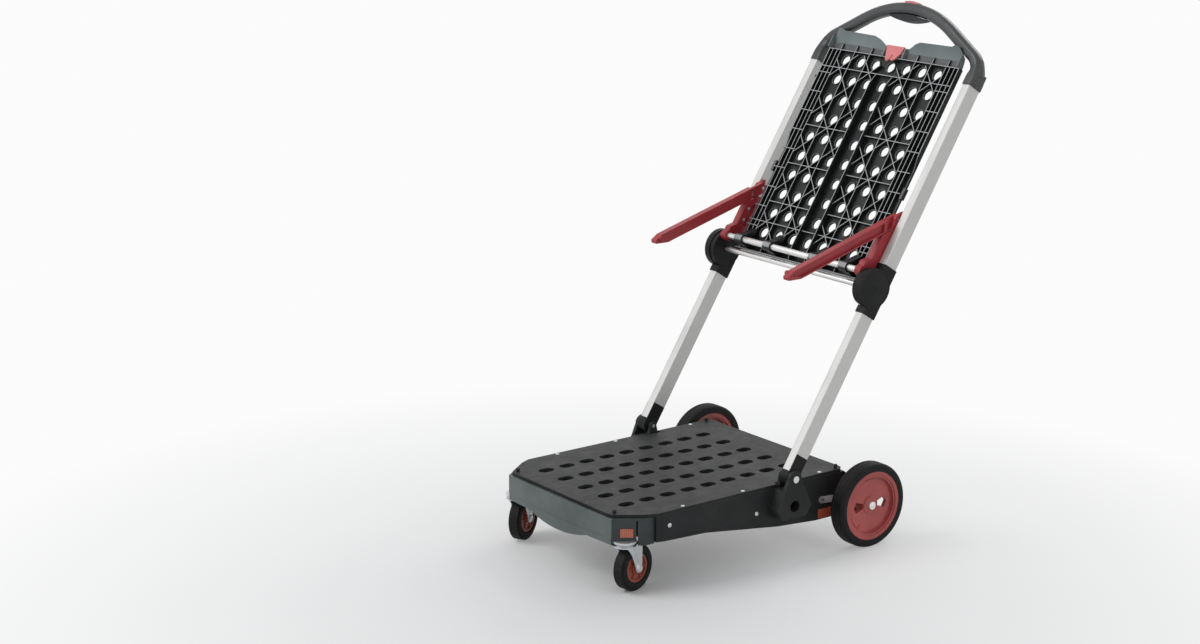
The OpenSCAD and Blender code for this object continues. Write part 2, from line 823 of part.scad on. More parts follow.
// the bracket's leg and its foot round the cross rod
module bracket() {
  rear = arm_y + 6.4;
  front = -18.4;
  knee_top = 108;
  color([0.60, 0.20, 0.22])
    difference() {
      union() {
        across(lane_in, lane_out)
          polygon([[rear, 36], [rear, knee_top + 31.5], [front, knee_top - 2.5], [front, 54],
            [-rod_y - 6, 42], [-rod_y - 6, rod_z], [-rod_y + 6, rod_z - 6], [1, 27]]);
        pin(lane_in, lane_out, -rod_y, rod_z, rod_d / 2 + 4.5);
        // outer half of the fork that holds the arm
        across(lane_mid + 0.2, lane_out) {
          translate([arm_y, arm_z]) circle(boss_r);
          polygon([[rear, knee_top + 10], [rear, arm_z + 17], [rear - 3, arm_z + 20],
            [arm_y - 8, arm_z + 7.5], [front + 12, knee_top + 4]]);
        }
        // pads that meet the rail
        across(lane_out - 0.5, rail_in) translate([fold_gap + 1, sleeve_len + 0.5])
          square([rear - fold_gap - 1, arm_z - sleeve_len + 5]);
      }
      // the arm's root turns here
      pin(lane_in - 1, lane_mid + 0.2, arm_y, arm_z, boss_r + 9);
      pin(lane_in - 1, lane_out - 1, -rod_y, rod_z, rod_d / 2 + fit);
      pin(lane_in - 1, lane_out + 2, arm_y, arm_z, arm_pin_d / 2 + fit);
      // hollow side facing the shelf
      across(lane_in - 1, lane_in + 5)
        polygon([[rear - 4, 58], [rear - 4, 112], [front + 5, 92], [front + 5, 58]]);
    }
}
module bracket_r() { at_knee() bracket(); }
module bracket_l() { at_knee() left() bracket(); }

module arm_pins() {
  color([0.72, 0.73, 0.74]) at_knee()
    for (m = [0, 1]) mirror([m, 0, 0])
      pin(lane_in, lane_out + 1, arm_y, arm_z, arm_pin_d / 2);
}

// arm in its own frame: its length runs to -Y, its root turns in the inner half lane
module arm() {
  swing = boss_r + 10;
  color([0.64, 0.22, 0.24])
    difference() {
      union() {
        across(lane_in, lane_mid - 0.2) {
          circle(boss_r);
          translate([-swing - 4, -boss_r]) square([swing + 4, arm_h]);
        }
        across(lane_in, lane_out - 0.5)
          polygon([[-swing - 15, -boss_r], [-swing - 6, boss_r], [-arm_len + 18, boss_r],
            [-arm_len, boss_r - 6], [-arm_len, -2], [-arm_len + 30, -boss_r]]);
        // step that the shelf comes to rest on
        pin(shelf_half + 1, lane_in + 1, -peg_a, peg_b, peg_r);
      }
      pin(lane_in - 1, lane_out + 1, 0, 0, arm_pin_d / 2 + fit);
      // channel along the outer side
      across(lane_out - 6, lane_out + 1)
        polygon([[-swing - 22, -boss_r + 3], [-swing - 16, boss_r - 3],
          [-arm_len + 20, boss_r - 3], [-arm_len + 10, boss_r - 8],
          [-arm_len + 34, -boss_r + 3]]);
    }
}
module arm_r() { at_arm() arm(); }
module arm_l() { at_arm() left() arm(); }

// shelf

function col_x(i) = (i - (cols - 1) / 2) * hole_x;
function row_z(j) = row0_z - j * hole_z;

// every hole of the lattice, as circles of one radius
module holes(r) {
  for (i = [0 : cols - 1], j = [0 : rows - 1])
    translate([col_x(i), row_z(j)]) circle(r);
}

// a rib from a to b, in (x, z)
module rib(a, b, t) {
  translate(a) rotate(atan2(b[1] - a[1], b[0] - a[0]))
    translate([0, -t / 2]) square([norm(b - a), t]);
}

// diamond ribs of one bay, cut off at its edges
module diamonds() {
  intersection() {
    translate([bay_in, shelf_z0 + 20]) square([bay_out - bay_in, row_z(-0.3) - shelf_z0 - 20]);
    for (k = [-2 : 7]) {
      c = [2 * hole_x, row_z(3.5) + (k - 2) * 2 * hole_z];
      rib(c - [120, 120 * hole_z / hole_x], c + [120, 120 * hole_z / hole_x], rib_t);
      rib(c - [120, -120 * hole_z / hole_x], c + [120, -120 * hole_z / hole_x], rib_t);
    }
  }
}

module rib_plan() {
  difference() {
    union() {
      for (m = [0, 1]) mirror([m, 0]) {
        // ribs between the hole lines and beside them
        for (i = [1.5, 2.5])
          translate([i * hole_x - rib_t / 2, shelf_z0]) square([rib_t, shelf_z1 - shelf_z0]);
        for (x = [bay_out, bay_out + 11, bay_out + 24])
          translate([x - rib_t / 2, shelf_z0]) square([rib_t, shelf_z1 - shelf_z0]);
        diamonds();
        for (j = [3.5, 5.5, 7.5])
          translate([bay_in, row_z(j) - rib_t / 2]) square([bay_out - bay_in, rib_t]);
      }
      for (z = [shelf_z0, row_z(8.55), row_z(0.5), shelf_z1 - rib_t])
        translate([-shelf_half + 1, z]) square([2 * shelf_half - 2, rib_t]);
      // little cross ribs in the double edge
      for (m = [0, 1], j = [1 : rows - 1]) mirror([m, 0])
        translate([bay_out, row_z(j) + 8]) square([shelf_half - bay_out - 1, rib_t]);
    }
    holes(hole_d / 2);
  }
}

module shelf_panel() {
  y0 = shelf_y0;
  y1 = shelf_y1;
  lug_x = [150, 60];
  color([0.09, 0.09, 0.10]) at_knee() {
    difference() {
      union() {
        // plate that carries the load
        along(y1 - shelf_t, y1)
          difference() {
            translate([-shelf_half, shelf_z0]) square([2 * shelf_half, shelf_z1 - shelf_z0]);
            holes(hole_d / 2);
          }
        along(y0, y1 - shelf_t + 0.2) rib_plan();
        along(y1 - shelf_t - collar_h, y1 - shelf_t + 0.2)
          difference() {
            holes(collar_r);
            holes(hole_d / 2);
          }
        // side walls, lower along their lower half
        for (m = [0, 1]) mirror([m, 0, 0])
          across(shelf_half - 2.4, shelf_half)
            polygon([[y1, shelf_z0], [y0 + 7, shelf_z0], [y0 + 7, row_z(4.6)],
              [y0 + 1, row_z(4)], [y0, row_z(3.6)], [y0, shelf_z1], [y1, shelf_z1]]);
        // tall ribs of the middle channel
        for (m = [0, 1]) mirror([m, 0, 0])
          across(bay_in - rib_t / 2, bay_in + rib_t / 2)
            polygon([[y1 - 1, shelf_z0], [y0, shelf_z0], [y0 - 7, shelf_z0 + 24],
              [y0 - 7, row_z(1)], [y0, row_z(0.5)], [y1 - 1, row_z(0.5)]]);
        // hinge lugs round the cross rod
        for (m = [0, 1], x = lug_x) mirror([m, 0, 0]) {
          pin(x, x + 22, -rod_y, rod_z, hub_r);
          across(x + 2, x + 20)
            polygon([[-rod_y, rod_z - hub_r + 3], [y0 + 1, shelf_z0 + 2], [y0 + 1, 58],
              [-rod_y, rod_z + hub_r]]);
        }
        // blocks that come down onto the arms
        for (m = [0, 1]) mirror([m, 0, 0])
          box(shelf_half - 1, lane_in - 0.5, y0 + 2, y0 + 11, block_z, block_z + 24);
      }
      for (m = [0, 1], x = lug_x) mirror([m, 0, 0])
        pin(x - 1, x + 23, -rod_y, rod_z, rod_d / 2 + fit);
      // room for the latch
      box(-15, 15, y0 - 1, y0 + 6, row0_z + collar_r + 0.5, shelf_z1 + 1);
    }
  }
}

// outline of the end lip: high corners and a dip for the latch
module lip_plan() {
  w = shelf_half - 1;
  z0 = shelf_z1;
  polygon([[-w, z0], [-w, z0 + 23], [-w + 4, z0 + 28], [-w + 9, z0 + 35], [-w + 15, z0 + 41],
    [-w + 24, z0 + 42], [-w + 34, z0 + 39], [-67, z0 + 38], [-52, z0 + 34], [-34, z0 + 24],
    [34, z0 + 24], [52, z0 + 34], [67, z0 + 38], [w - 34, z0 + 39], [w - 24, z0 + 42],
    [w - 15, z0 + 41], [w - 9, z0 + 35], [w - 4, z0 + 28], [w, z0 + 23], [w, z0]]);
}

module shelf_lip() {
  r = 55;
  cy = shelf_y1 - 2 - r;
  color([0.45, 0.49, 0.48]) at_knee()
    intersection() {
      along(-30, 30) lip_plan();
      union() {
        across(-shelf_half, shelf_half)
          difference() {
            translate([cy, shelf_z1]) circle(r, $fn = 128);
            translate([cy, shelf_z1]) circle(r - 3, $fn = 128);
          }
        for (m = [0, 1]) mirror([m, 0, 0])
          across(shelf_half - 3.6, shelf_half)
            intersection() {
              translate([cy, shelf_z1]) circle(r - 1, $fn = 128);
              translate([shelf_y0 - 8, shelf_z1]) square([40, 60]);
            }
        // ears for the latch pin
        for (x = [-31, 27])
          across(x, x + 4) difference() {
            intersection() {
              translate([-6, shelf_z1]) square([16, 22]);
              translate([cy, shelf_z1]) circle(r - 1, $fn = 128);
            }
            translate([shelf_y0 + 1.4, shelf_z1 + 12]) circle(2 + fit);
          }
      }
    }
}

latch_y = shelf_y0 + 1.4;
latch_z = shelf_z1 + 12;

// wedge-shaped latch with a split tongue, tipped about its pin
module shelf_latch() {
  color([0.85, 0.38, 0.36]) at_knee()
    difference() {
      union() {
        pin(-24.5, 24.5, latch_y, latch_z, 3.8);
        along(shelf_y0 - 5.4, shelf_y0 - 1.7)
          difference() {
            polygon([[-26, latch_z + 12], [26, latch_z + 12], [23, latch_z - 4],
              [13, latch_z - 17], [4, latch_z - 22], [-1, latch_z - 17], [-10, latch_z - 24],
              [-15, latch_z - 18], [-19, latch_z - 6]]);
            translate([1, latch_z - 13]) rotate(-15) square([2.4, 9], center = true);
          }
        across(-20, 20)
          polygon([[shelf_y0 - 5.2, latch_z - 5], [shelf_y0 - 5.2, latch_z + 5],
            [latch_y, latch_z + 3.6], [latch_y, latch_z - 3.6]]);
      }
      pin(-30, 30, latch_y, latch_z, 2 + fit);
    }
}

module latch_pin() {
  color([0.72, 0.73, 0.74]) at_knee() pin(-31, 31, latch_y, latch_z, 2);
}

// handle

module tube_section() { rounded(tube_w, tube_d, 10); }

// the corner that turns inwards, in the arch's own plane
module corner_tube(section_cut) {
  translate([leg_x - corner_r, 0, 0]) rotate([90, 0, 0])
    rotate_extrude(angle = turn, $fn = 128) translate([corner_r, 0]) children();
}

module handle_cap() {
  lap = 14;
  top = rail_len + 2;
  color([0.17, 0.18, 0.19]) {
    // socket over the rail's end
    difference() {
      translate([rail_mid, knee_back, rail_len - lap]) linear_extrude(top - rail_len + lap)
        rounded(rail_w + 3.6, rail_d + 3.6, rail_r + 1.8);
      rail_cut(rail_len - lap - 1, rail_len);
    }
    // block that carries the socket into the tube
    intersection() {
      translate([rail_mid, knee_back, top - 0.2]) linear_extrude(30)
        rounded(rail_w + 3.6, rail_d + 3.6, rail_r + 1.8);
      translate([0, arch_y, arch_z]) rotate([handle_lean, 0, 0])
        translate([leg_x, 0, -30]) linear_extrude(34) rounded(tube_w, rail_d + 3.6, 6);
    }
    translate([0, arch_y, arch_z]) rotate([handle_lean, 0, 0]) intersection() {
      corner_tube() tube_section();
      box(0, half_w + 20, -40, 40, -10, 100);
    }
  }
}
module handle_cap_r() { at_knee() handle_cap(); }
module handle_cap_l() { at_knee() left() handle_cap(); }

// two straight tubes and the crown between them, which is a little slimmer
module handle_arch() {
  slim = 0.5;
  lap = 0.4;
  color([0.24, 0.25, 0.26]) at_arch()
    difference() {
      union() {
        for (m = [0, 1]) mirror([m, 0, 0])
          translate([arc_x, 0, arc_t]) rotate([0, arch_slope - 90, 0])
            linear_extrude(run) tube_section();
        translate([0, 0, crown_t - crown_r]) rotate([90, 0, 0])
          rotate([0, 0, 90 - arch_slope - lap])
            rotate_extrude(angle = 2 * (arch_slope + lap), $fn = 180)
              translate([crown_r, 0]) rounded(tube_w - slim, tube_d - slim, 10 - slim / 2);
      }
      // pocket of the button
      box(-19.4, 19.4, -7, 7, crown_t + 1, crown_t + 30);
    }
}

// swelling under the crown for the fingers
module handle_grip() {
  in_r = crown_r - tube_w / 2 - seat;
  low = 28;
  bulge_r = 170;
  color([0.20, 0.21, 0.22]) at_arch()
    along(-tube_d / 2 + 2, tube_d / 2 - 2)
      intersection() {
        translate([0, crown_t - crown_r]) circle(in_r, $fn = 240);
        translate([0, crown_t - low + bulge_r]) circle(bulge_r, $fn = 240);
      }
}

module handle_button() {
  color([0.86, 0.33, 0.28]) at_arch()
    intersection() {
      box(-19, 19, -6.6, 6.6, crown_t + 4.5, crown_t + tube_w / 2 + 3);
      translate([0, 10, crown_t + tube_w / 2 + 3 - 90]) rotate([90, 0, 0])
        cylinder(h = 20, r = 90, $fn = 180);
    }
}

// screws of the knees, brackets and handle
module frame_screws() {
  color([0.62, 0.63, 0.64]) at_knee()
    for (m = [0, 1]) mirror([m, 0, 0]) {
      for (z = [70, 96]) pin(lane_in + 3.6, lane_in + 5, -3, z, 3.2);
      translate([rail_mid, fold_gap + rail_d + 1.8, rail_len - 6]) rotate([-90, 0, 0])
        cylinder(h = 1.2, r = 3.4);
    }
}

bumper_face();
bumper_lip();
corner_block_r();
corner_block_l();
front_reflectors();
deck_tray();
side_beam_r();
side_beam_l();
rear_reflectors();
fold_catches();
axle_housing();
rear_axle();
pivot_pins();
crate_knobs();
castor_seats();
deck_screws();
castor_fork_r();
castor_fork_l();
castor_tyre_r();
castor_tyre_l();
castor_hub_r();
castor_hub_l();
castor_axle_r();
castor_axle_l();
wheel_tyre_r();
wheel_tyre_l();
wheel_rim_r();
wheel_rim_l();
wheel_cap_r();
wheel_cap_l();
leg_r();
leg_l();
leg_feet();
knee_lower_r();
knee_lower_l();
knee_shaft();
rail_r();
rail_l();
knee_upper_r();
knee_upper_l();
bracket_r();
bracket_l();
cross_rod();
arm_pins();
handle_cap_r();
handle_cap_l();
handle_arch();
handle_grip();
frame_screws();
arm_r();
arm_l();
shelf_panel();
shelf_lip();
shelf_latch();
latch_pin();
handle_button();
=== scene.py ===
"""Folding shopping cart: finishes, small fittings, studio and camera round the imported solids."""

import json
import logging
import math
from dataclasses import dataclass
from enum import Enum
from typing import ClassVar, Iterable, Optional, Sequence, Union

import bmesh
import bpy
from mathutils import Matrix, Vector


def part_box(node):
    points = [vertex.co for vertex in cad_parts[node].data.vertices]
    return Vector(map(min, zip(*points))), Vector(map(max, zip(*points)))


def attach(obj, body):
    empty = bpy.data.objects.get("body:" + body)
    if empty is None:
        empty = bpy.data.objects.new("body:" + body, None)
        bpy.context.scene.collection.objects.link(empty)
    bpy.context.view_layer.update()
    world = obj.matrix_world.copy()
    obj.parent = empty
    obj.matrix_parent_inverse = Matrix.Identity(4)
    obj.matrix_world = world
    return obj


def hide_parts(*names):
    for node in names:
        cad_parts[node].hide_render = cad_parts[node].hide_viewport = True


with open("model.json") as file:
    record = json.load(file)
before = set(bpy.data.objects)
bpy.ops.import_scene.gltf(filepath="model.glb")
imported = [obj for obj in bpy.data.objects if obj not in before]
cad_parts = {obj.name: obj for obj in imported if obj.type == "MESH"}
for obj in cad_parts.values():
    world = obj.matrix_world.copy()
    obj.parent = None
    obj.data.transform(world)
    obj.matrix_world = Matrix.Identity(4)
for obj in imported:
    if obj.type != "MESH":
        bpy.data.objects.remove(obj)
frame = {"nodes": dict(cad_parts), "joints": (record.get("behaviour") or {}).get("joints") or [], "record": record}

LOG = logging.getLogger("cart")
NODES: dict[str, bpy.types.Object] = frame["nodes"]

# Lean of the rails and of the shelf at rest, back from upright.
LEAN_DEG = 32.6

Colour = tuple[float, float, float]
Span = tuple[float, float]
# Points of an outline, or of a turned piece: radius and distance along the axis.
Profile = Sequence[tuple[float, float]]
Ring = list[bmesh.types.BMVert]
Socket = bpy.types.NodeSocket


class Grain(Enum):
    """Scale of a noise along each axis, which draws it out where it is small."""

    EVEN = (1.0, 1.0, 1.0)
    ALONG_RAIL = (1.0, 1.0, 0.02)
    ROUND_X = (0.05, 1.0, 1.0)
    LONG_X = (0.4, 1.0, 1.0)
    LONG_Y = (1.0, 0.35, 1.0)


class Side(Enum):
    """Side of the cart, as the sign of X."""

    RIGHT = 1
    LEFT = -1

    @property
    def tag(self) -> str:
        """Letter that ends the names of this side's nodes."""
        return "r" if self is Side.RIGHT else "l"

    @property
    def out(self) -> Vector:
        """Direction away from the cart's middle."""
        return Vector((self.value, 0, 0))


# Shader nodes.


@dataclass(frozen=True)
class Pattern:
    """A noise: cells per metre, octaves, weight of the finer ones and how it is drawn out."""

    cells: float
    octaves: float = 4.0
    rough: float = 0.55
    grain: Grain = Grain.EVEN


@dataclass(frozen=True)
class Tone:
    """A drift of a finish's own colour: its gain and its lift."""

    gain: float
    lift: float = 0.0


class Nodes:
    """A node tree, with short calls to add and join its nodes."""

    def __init__(self, tree: bpy.types.NodeTree) -> None:
        """Clear the tree.

        Args:
            tree: tree of a material or of the world.
        """
        self.tree = tree
        self.tree.nodes.clear()

    def add(self, kind: str, operation: str = "") -> bpy.types.Node:
        """Add a node.

        Args:
            kind: Blender's name of the node.
            operation: what a math node does.

        Returns:
            The new node.
        """
        node = self.tree.nodes.new(kind)
        if operation:
            node.operation = operation
        return node

    def link(self, a: Socket, b: Socket) -> None:
        """Join two sockets."""
        self.tree.links.new(a, b)

    def pair(self, operation: str, a: Socket, b: Socket) -> Socket:
        """Join two values by a math node.

        Args:
            operation: what the node does.
            a: first value.
            b: second value.

        Returns:
            The result.
        """
        node = self.add("ShaderNodeMath", operation)
        self.link(a, node.inputs[0])
        self.link(b, node.inputs[1])
        return node.outputs[0]

    def seen_rays(self) -> Socket:
        """Find the rays that show a background: the camera's, reflected and through glass.

        Returns:
            1 for such rays and 0 for the others.
        """
        path = self.add("ShaderNodeLightPath").outputs
        seen = self.pair("MAXIMUM", path["Is Camera Ray"], path["Is Glossy Ray"])
        return self.pair("MAXIMUM", seen, path["Is Transmission Ray"])


class Shader(Nodes):
    """Nodes of one material, with the patterns and blends that the finishes share."""

    def __init__(self, name: str, lean_deg: float = 0.0) -> None:
        """Start a material with its shader, its output and the object's coordinates.

        Args:
            name: name of the material.
            lean_deg: turn about X that brings the coordinates in line with the rails.
        """
        self.material = bpy.data.materials.new(name)
        self.material.use_nodes = True
        super().__init__(self.material.node_tree)
        self.out = self.add("ShaderNodeOutputMaterial")
        self.bsdf = self.add("ShaderNodeBsdfPrincipled")
        self.link(self.bsdf.outputs["BSDF"], self.out.inputs["Surface"])
        coordinates = self.add("ShaderNodeTexCoord").outputs
        self.place, self.normal = coordinates["Object"], coordinates["Normal"]
        lean = self.add("ShaderNodeMapping")
        lean.inputs["Rotation"].default_value = (math.radians(lean_deg), 0.0, 0.0)
        self.link(self.place, lean.inputs["Vector"])
        self.leaned = lean.outputs["Vector"]

    def put(self, name: str, value: Union[Socket, float]) -> None:
        """Feed an input of the shader.

        Args:
            name: name of the input.
            value: a socket to link, or a number that is the same all over.
        """
        if isinstance(value, Socket):
            self.link(value, self.bsdf.inputs[name])
        else:
            self.bsdf.inputs[name].default_value = value

    def noise(self, pattern: Pattern) -> Socket:
        """Noise in the object's own coordinates, turned to the rails' lean.

        Args:
            pattern: what the noise is like.

        Returns:
            The noise value, from 0 to 1.
        """
        draw = self.add("ShaderNodeMapping")
        draw.inputs["Scale"].default_value = pattern.grain.value
        self.link(self.leaned, draw.inputs["Vector"])
        node = self.add("ShaderNodeTexNoise")
        node.inputs["Scale"].default_value = pattern.cells
        node.inputs["Detail"].default_value = pattern.octaves
        node.inputs["Roughness"].default_value = pattern.rough
        self.link(draw.outputs["Vector"], node.inputs["Vector"])
        return node.outputs["Fac"]

    def cells(self, count: float, jitter: float = 1.0) -> Socket:
        """Pattern of cells.

        Args:
            count: cells per metre.
            jitter: 0 for even rows and 1 for scattered cells.

        Returns:
            Distance from the middle of the nearest cell.
        """
        node = self.add("ShaderNodeTexVoronoi")
        node.inputs["Scale"].default_value = count
        node.inputs["Randomness"].default_value = jitter
        self.link(self.place, node.inputs["Vector"])
        return node.outputs["Distance"]

    def between(self, value: Socket, low: float, high: float,
                start: float = 0.3, end: float = 0.7) -> Socket:
        """Carry a value from one range to another and hold it at the ends.

        Args:
            value: value to carry over.
            low: result at start.
            high: result at end.
            start: lower end of the value's range.
            end: upper end of the value's range.

        Returns:
            The new value.
        """
        node = self.add("ShaderNodeMapRange")
        for name, number in (("From Min", start), ("From Max", end),
                             ("To Min", low), ("To Max", high)):
            node.inputs[name].default_value = number
        self.link(value, node.inputs["Value"])
        return node.outputs["Result"]

    def share(self, value: Socket, most: float) -> Socket:
        """Carry a value of 0 to 1 to one of 0 to most."""
        return self.between(value, 0.0, most, 0.0, 1.0)

    def blend(self, share: Socket, first: Union[Socket, Colour],
              second: Union[Socket, Colour]) -> Socket:
        """Mix two colours.

        Args:
            share: share of the second colour.
            first: first colour.
            second: second colour.

        Returns:
            The mixed colour.
        """
        node = self.add("ShaderNodeMix")
        node.data_type = "RGBA"
        self.link(share, node.inputs["Factor"])
        for socket, value in ((node.inputs[6], first), (node.inputs[7], second)):
            if isinstance(value, Socket):
                self.link(value, socket)
            else:
                socket.default_value = (*value, 1.0)
        return node.outputs[2]

    def sum_of(self, a: Socket, b: Socket, share: float) -> Socket:
        """Add a share of one value to another.

        Args:
            a: value that is kept whole.
            b: value that is added.
            share: share of b.

        Returns:
            The sum.
        """
        node = self.add("ShaderNodeMath", "MULTIPLY_ADD")
        self.link(b, node.inputs[0])
        node.inputs[1].default_value = share
        self.link(a, node.inputs[2])
        return node.outputs[0]

    def along(self, value: Socket, way: Union[Socket, Vector]) -> Socket:
        """Measure how far a vector reaches along a direction.

        Args:
            value: the vector.
            way: the direction.

        Returns:
            Their dot product.
        """
        node = self.add("ShaderNodeVectorMath", "DOT_PRODUCT")
        self.link(value, node.inputs[0])
        if isinstance(way, Socket):
            self.link(way, node.inputs[1])
        else:
            node.inputs[1].default_value = way
        return node.outputs["Value"]

    def soft_edges(self, radius: float) -> Socket:
        """Round the sharp edges in shading.

        Args:
            radius: radius in metres.

        Returns:
            The rounded normal.
        """
        node = self.add("ShaderNodeBevel")
        node.samples = 4
        node.inputs["Radius"].default_value = radius
        return node.outputs["Normal"]

    def bump(self, height: Socket, depth: float, strength: float,
             under: Optional[Socket] = None) -> Socket:
        """Bump from a height.

        Args:
            height: height from 0 to 1.
            depth: height of 1, in metres.
            strength: strength of the bump.
            under: normal that it works on.

        Returns:
            The bumped normal.
        """
        node = self.add("ShaderNodeBump")
        node.inputs["Strength"].default_value = strength
        node.inputs["Distance"].default_value = depth
        self.link(height, node.inputs["Height"])
        if under is not None:
            self.link(under, node.inputs["Normal"])
        return node.outputs["Normal"]

    def edges(self, soft: Socket) -> Socket:
        """Find the edges, by how far the rounded normal turns away from the flat one.

        Args:
            soft: normal of the surface with its edges rounded.

        Returns:
            1 on edges and 0 elsewhere.
        """
        flat = self.add("ShaderNodeNewGeometry").outputs["Normal"]
        return self.between(self.along(soft, flat), 1.0, 0.0, 0.86, 0.995)

    def facing_up(self) -> Socket:
        """Find where the surface faces up and dust settles.

        Returns:
            1 where it faces up and 0 on walls.
        """
        split = self.add("ShaderNodeSeparateXYZ")
        self.link(self.add("ShaderNodeNewGeometry").outputs["Normal"], split.inputs["Vector"])
        return self.between(split.outputs["Z"], 0.0, 1.0, 0.55, 0.98)


# Finishes, one for each slot of the record.


@dataclass(frozen=True)
class Finish:
    """Base of the finishes: name, colour, roughness and radius of the softened edges."""

    name: str
    colour: Colour
    rough: float = 0.5
    edge: float = 0.0008

    ROUGH_DRIFT: ClassVar[Span] = (0.0, 0.0)
    DEEP: ClassVar[Tone] = Tone(1.0)
    PALE: ClassVar[Tone] = Tone(1.0)

    def build(self) -> bpy.types.Material:
        """Make the material.

        Returns:
            The material with its node tree.
        """
        shader = Shader(self.name, LEAN_DEG)
        shader.material.diffuse_color = (*self.colour, 1.0)
        self.paint(shader)
        return shader.material

    def paint(self, shader: Shader) -> None:
        """Build the nodes of this finish."""
        raise NotImplementedError

    def toned(self, tone: Tone) -> Colour:
        """The finish's colour after a drift."""
        return tuple(min(1.0, c * tone.gain + tone.lift) for c in self.colour)

    def clouded(self, shader: Shader, cloud: Socket) -> Socket:
        """The finish's colour, drifting from deep to pale with a noise."""
        share = shader.between(cloud, 0.0, 1.0)
        return shader.blend(share, self.toned(self.DEEP), self.toned(self.PALE))

    def drifting(self, shader: Shader, cloud: Socket) -> Socket:
        """The finish's roughness, drifting with a noise."""
        below, above = self.ROUGH_DRIFT
        return shader.between(cloud, self.rough + below, self.rough + above)


@dataclass(frozen=True)
class Moulded(Finish):
    """Injection moulded plastic: spark grain, faint flow marks, dust, and pale edges that are partly rubbed wear
    and partly a painted highlight.
    """

    grain: float = 2600.0
    depth: float = 0.00005
    dust: float = 0.06
    rub: float = 0.10
    sheen: float = 0.28

    ROUGH_DRIFT: ClassVar[Span] = (-0.07, 0.10)
    DEEP: ClassVar[Tone] = Tone(0.82)
    PALE: ClassVar[Tone] = Tone(1.22, 0.012)
    # Drift of the pale edges' colour: partly wear, partly a painted highlight on the rounded edges.
    RUBBED: ClassVar[Tone] = Tone(1.6, 0.14)
    DUST_COLOUR: ClassVar[Colour] = (0.42, 0.41, 0.39)
    FLOW: ClassVar[Pattern] = Pattern(9.0, 5.0, 0.6)
    SCUFF: ClassVar[Pattern] = Pattern(55.0, 6.0, 0.7, Grain.LONG_Y)
    GRAIN_STRENGTH: ClassVar[float] = 0.5

    def paint(self, shader: Shader) -> None:
        """Build the nodes of this finish.

        Args:
            shader: nodes of the new material.
        """
        soft = shader.soft_edges(self.edge)
        base = self.clouded(shader, shader.noise(self.FLOW))
        # Pale edges: partly wear and partly a painted highlight along the rounded edges.
        worn_and_highlit = shader.blend(shader.share(shader.edges(soft), self.rub), base,
                            self.toned(self.RUBBED))
        shader.put("Base Color", shader.blend(shader.share(shader.facing_up(), self.dust),
                                              worn_and_highlit, self.DUST_COLOUR))
        shader.put("Roughness", self.drifting(shader, shader.noise(self.SCUFF)))
        shader.put("Specular IOR Level", self.sheen)
        fine = shader.noise(Pattern(self.grain, 2.0, 0.5))
        shader.put("Normal", shader.bump(fine, self.depth, self.GRAIN_STRENGTH, soft))


@dataclass(frozen=True)
class Lattice(Moulded):
    """Moulded lattice with a painted highlight on the front faces of its rib edges and collar rims."""

    # Colours of the painted highlight on the rib edges and on the collar rims.
    rib_pale: Colour = (0.40, 0.41, 0.41)
    collar_pale: Colour = (0.13, 0.135, 0.137)

    # How far ahead of the knee's plane the painted highlight begins and is full, in metres.
    RIBS: ClassVar[Span] = (0.0008, 0.0014)
    RIMS: ClassVar[Span] = (-0.0062, -0.0054)
    FRONT_FACES: ClassVar[Span] = (0.80, 0.95)
    PATCHY: ClassVar[Pattern] = Pattern(180.0, 4.0, 0.6)

    def paint(self, shader: Shader) -> None:
        """Build the nodes of this finish.

        Args:
            shader: nodes of the new material.
        """
        super().paint(shader)
        lean = math.radians(LEAN_DEG)
        front = Vector((0.0, -math.cos(lean), math.sin(lean)))
        knee = joint_point("knee").dot(front)
        ahead = shader.along(shader.place, front)
        faces = shader.between(shader.along(shader.normal, front), 0.0, 1.0, *self.FRONT_FACES)
        colour = shader.bsdf.inputs["Base Color"].links[0].from_socket
        # Painted highlight: the front faces of the rib edges and collar rims turn pale, in patches; this mask
        # carries it.
        for (start, end), pale in ((self.RIMS, self.collar_pale), (self.RIBS, self.rib_pale)):
            there = shader.between(ahead, 0.0, 1.0, knee + start, knee + end)
            patchy = shader.between(shader.noise(self.PATCHY), 0.5, 1.0)
            rubbed = shader.pair("MULTIPLY", shader.pair("MULTIPLY", there, faces), patchy)
            colour = shader.blend(rubbed, colour, pale)
        shader.put("Base Color", colour)


@dataclass(frozen=True)
class Glossy(Moulded):
    """Moulded plastic with a half-gloss skin and a faint orange peel."""

    coat: float = 0.25
    coat_rough: float = 0.18

    def paint(self, shader: Shader) -> None:
        """Build the nodes of this finish.

        Args:
            shader: nodes of the new material.
        """
        super().paint(shader)
        shader.put("Coat Weight", self.coat)
        shader.put("Coat Roughness", self.coat_rough)


@dataclass(frozen=True)
class Reflector(Finish):
    """Reflector: clear glossy face over rows of small prisms."""

    prisms: float = 420.0
    prism_depth: float = 0.0004

    ROUGH_DRIFT: ClassVar[Span] = (0.0, 0.12)
    LIT: ClassVar[Tone] = Tone(1.35, 0.03)
    SHADED: ClassVar[Tone] = Tone(0.55)
    HAZE_COLOUR: ClassVar[Colour] = (0.30, 0.20, 0.16)

    def paint(self, shader: Shader) -> None:
        """Build the nodes of this finish.

        Args:
            shader: nodes of the new material.
        """
        prisms = shader.cells(self.prisms, jitter=0.0)
        lit = shader.blend(shader.between(prisms, 0.0, 1.0, 0.0, 0.7), self.toned(self.LIT),
                           self.toned(self.SHADED))
        haze = shader.between(shader.noise(Pattern(60.0)), 0.0, 0.2)
        shader.put("Base Color", shader.blend(haze, lit, self.HAZE_COLOUR))
        shader.put("Roughness", self.drifting(shader, shader.noise(Pattern(90.0))))
        shader.put("Coat Weight", 0.8)
        shader.put("Coat Roughness", 0.08)
        shader.put("Normal", shader.bump(prisms, self.prism_depth, 0.4,
                                         shader.soft_edges(self.edge)))


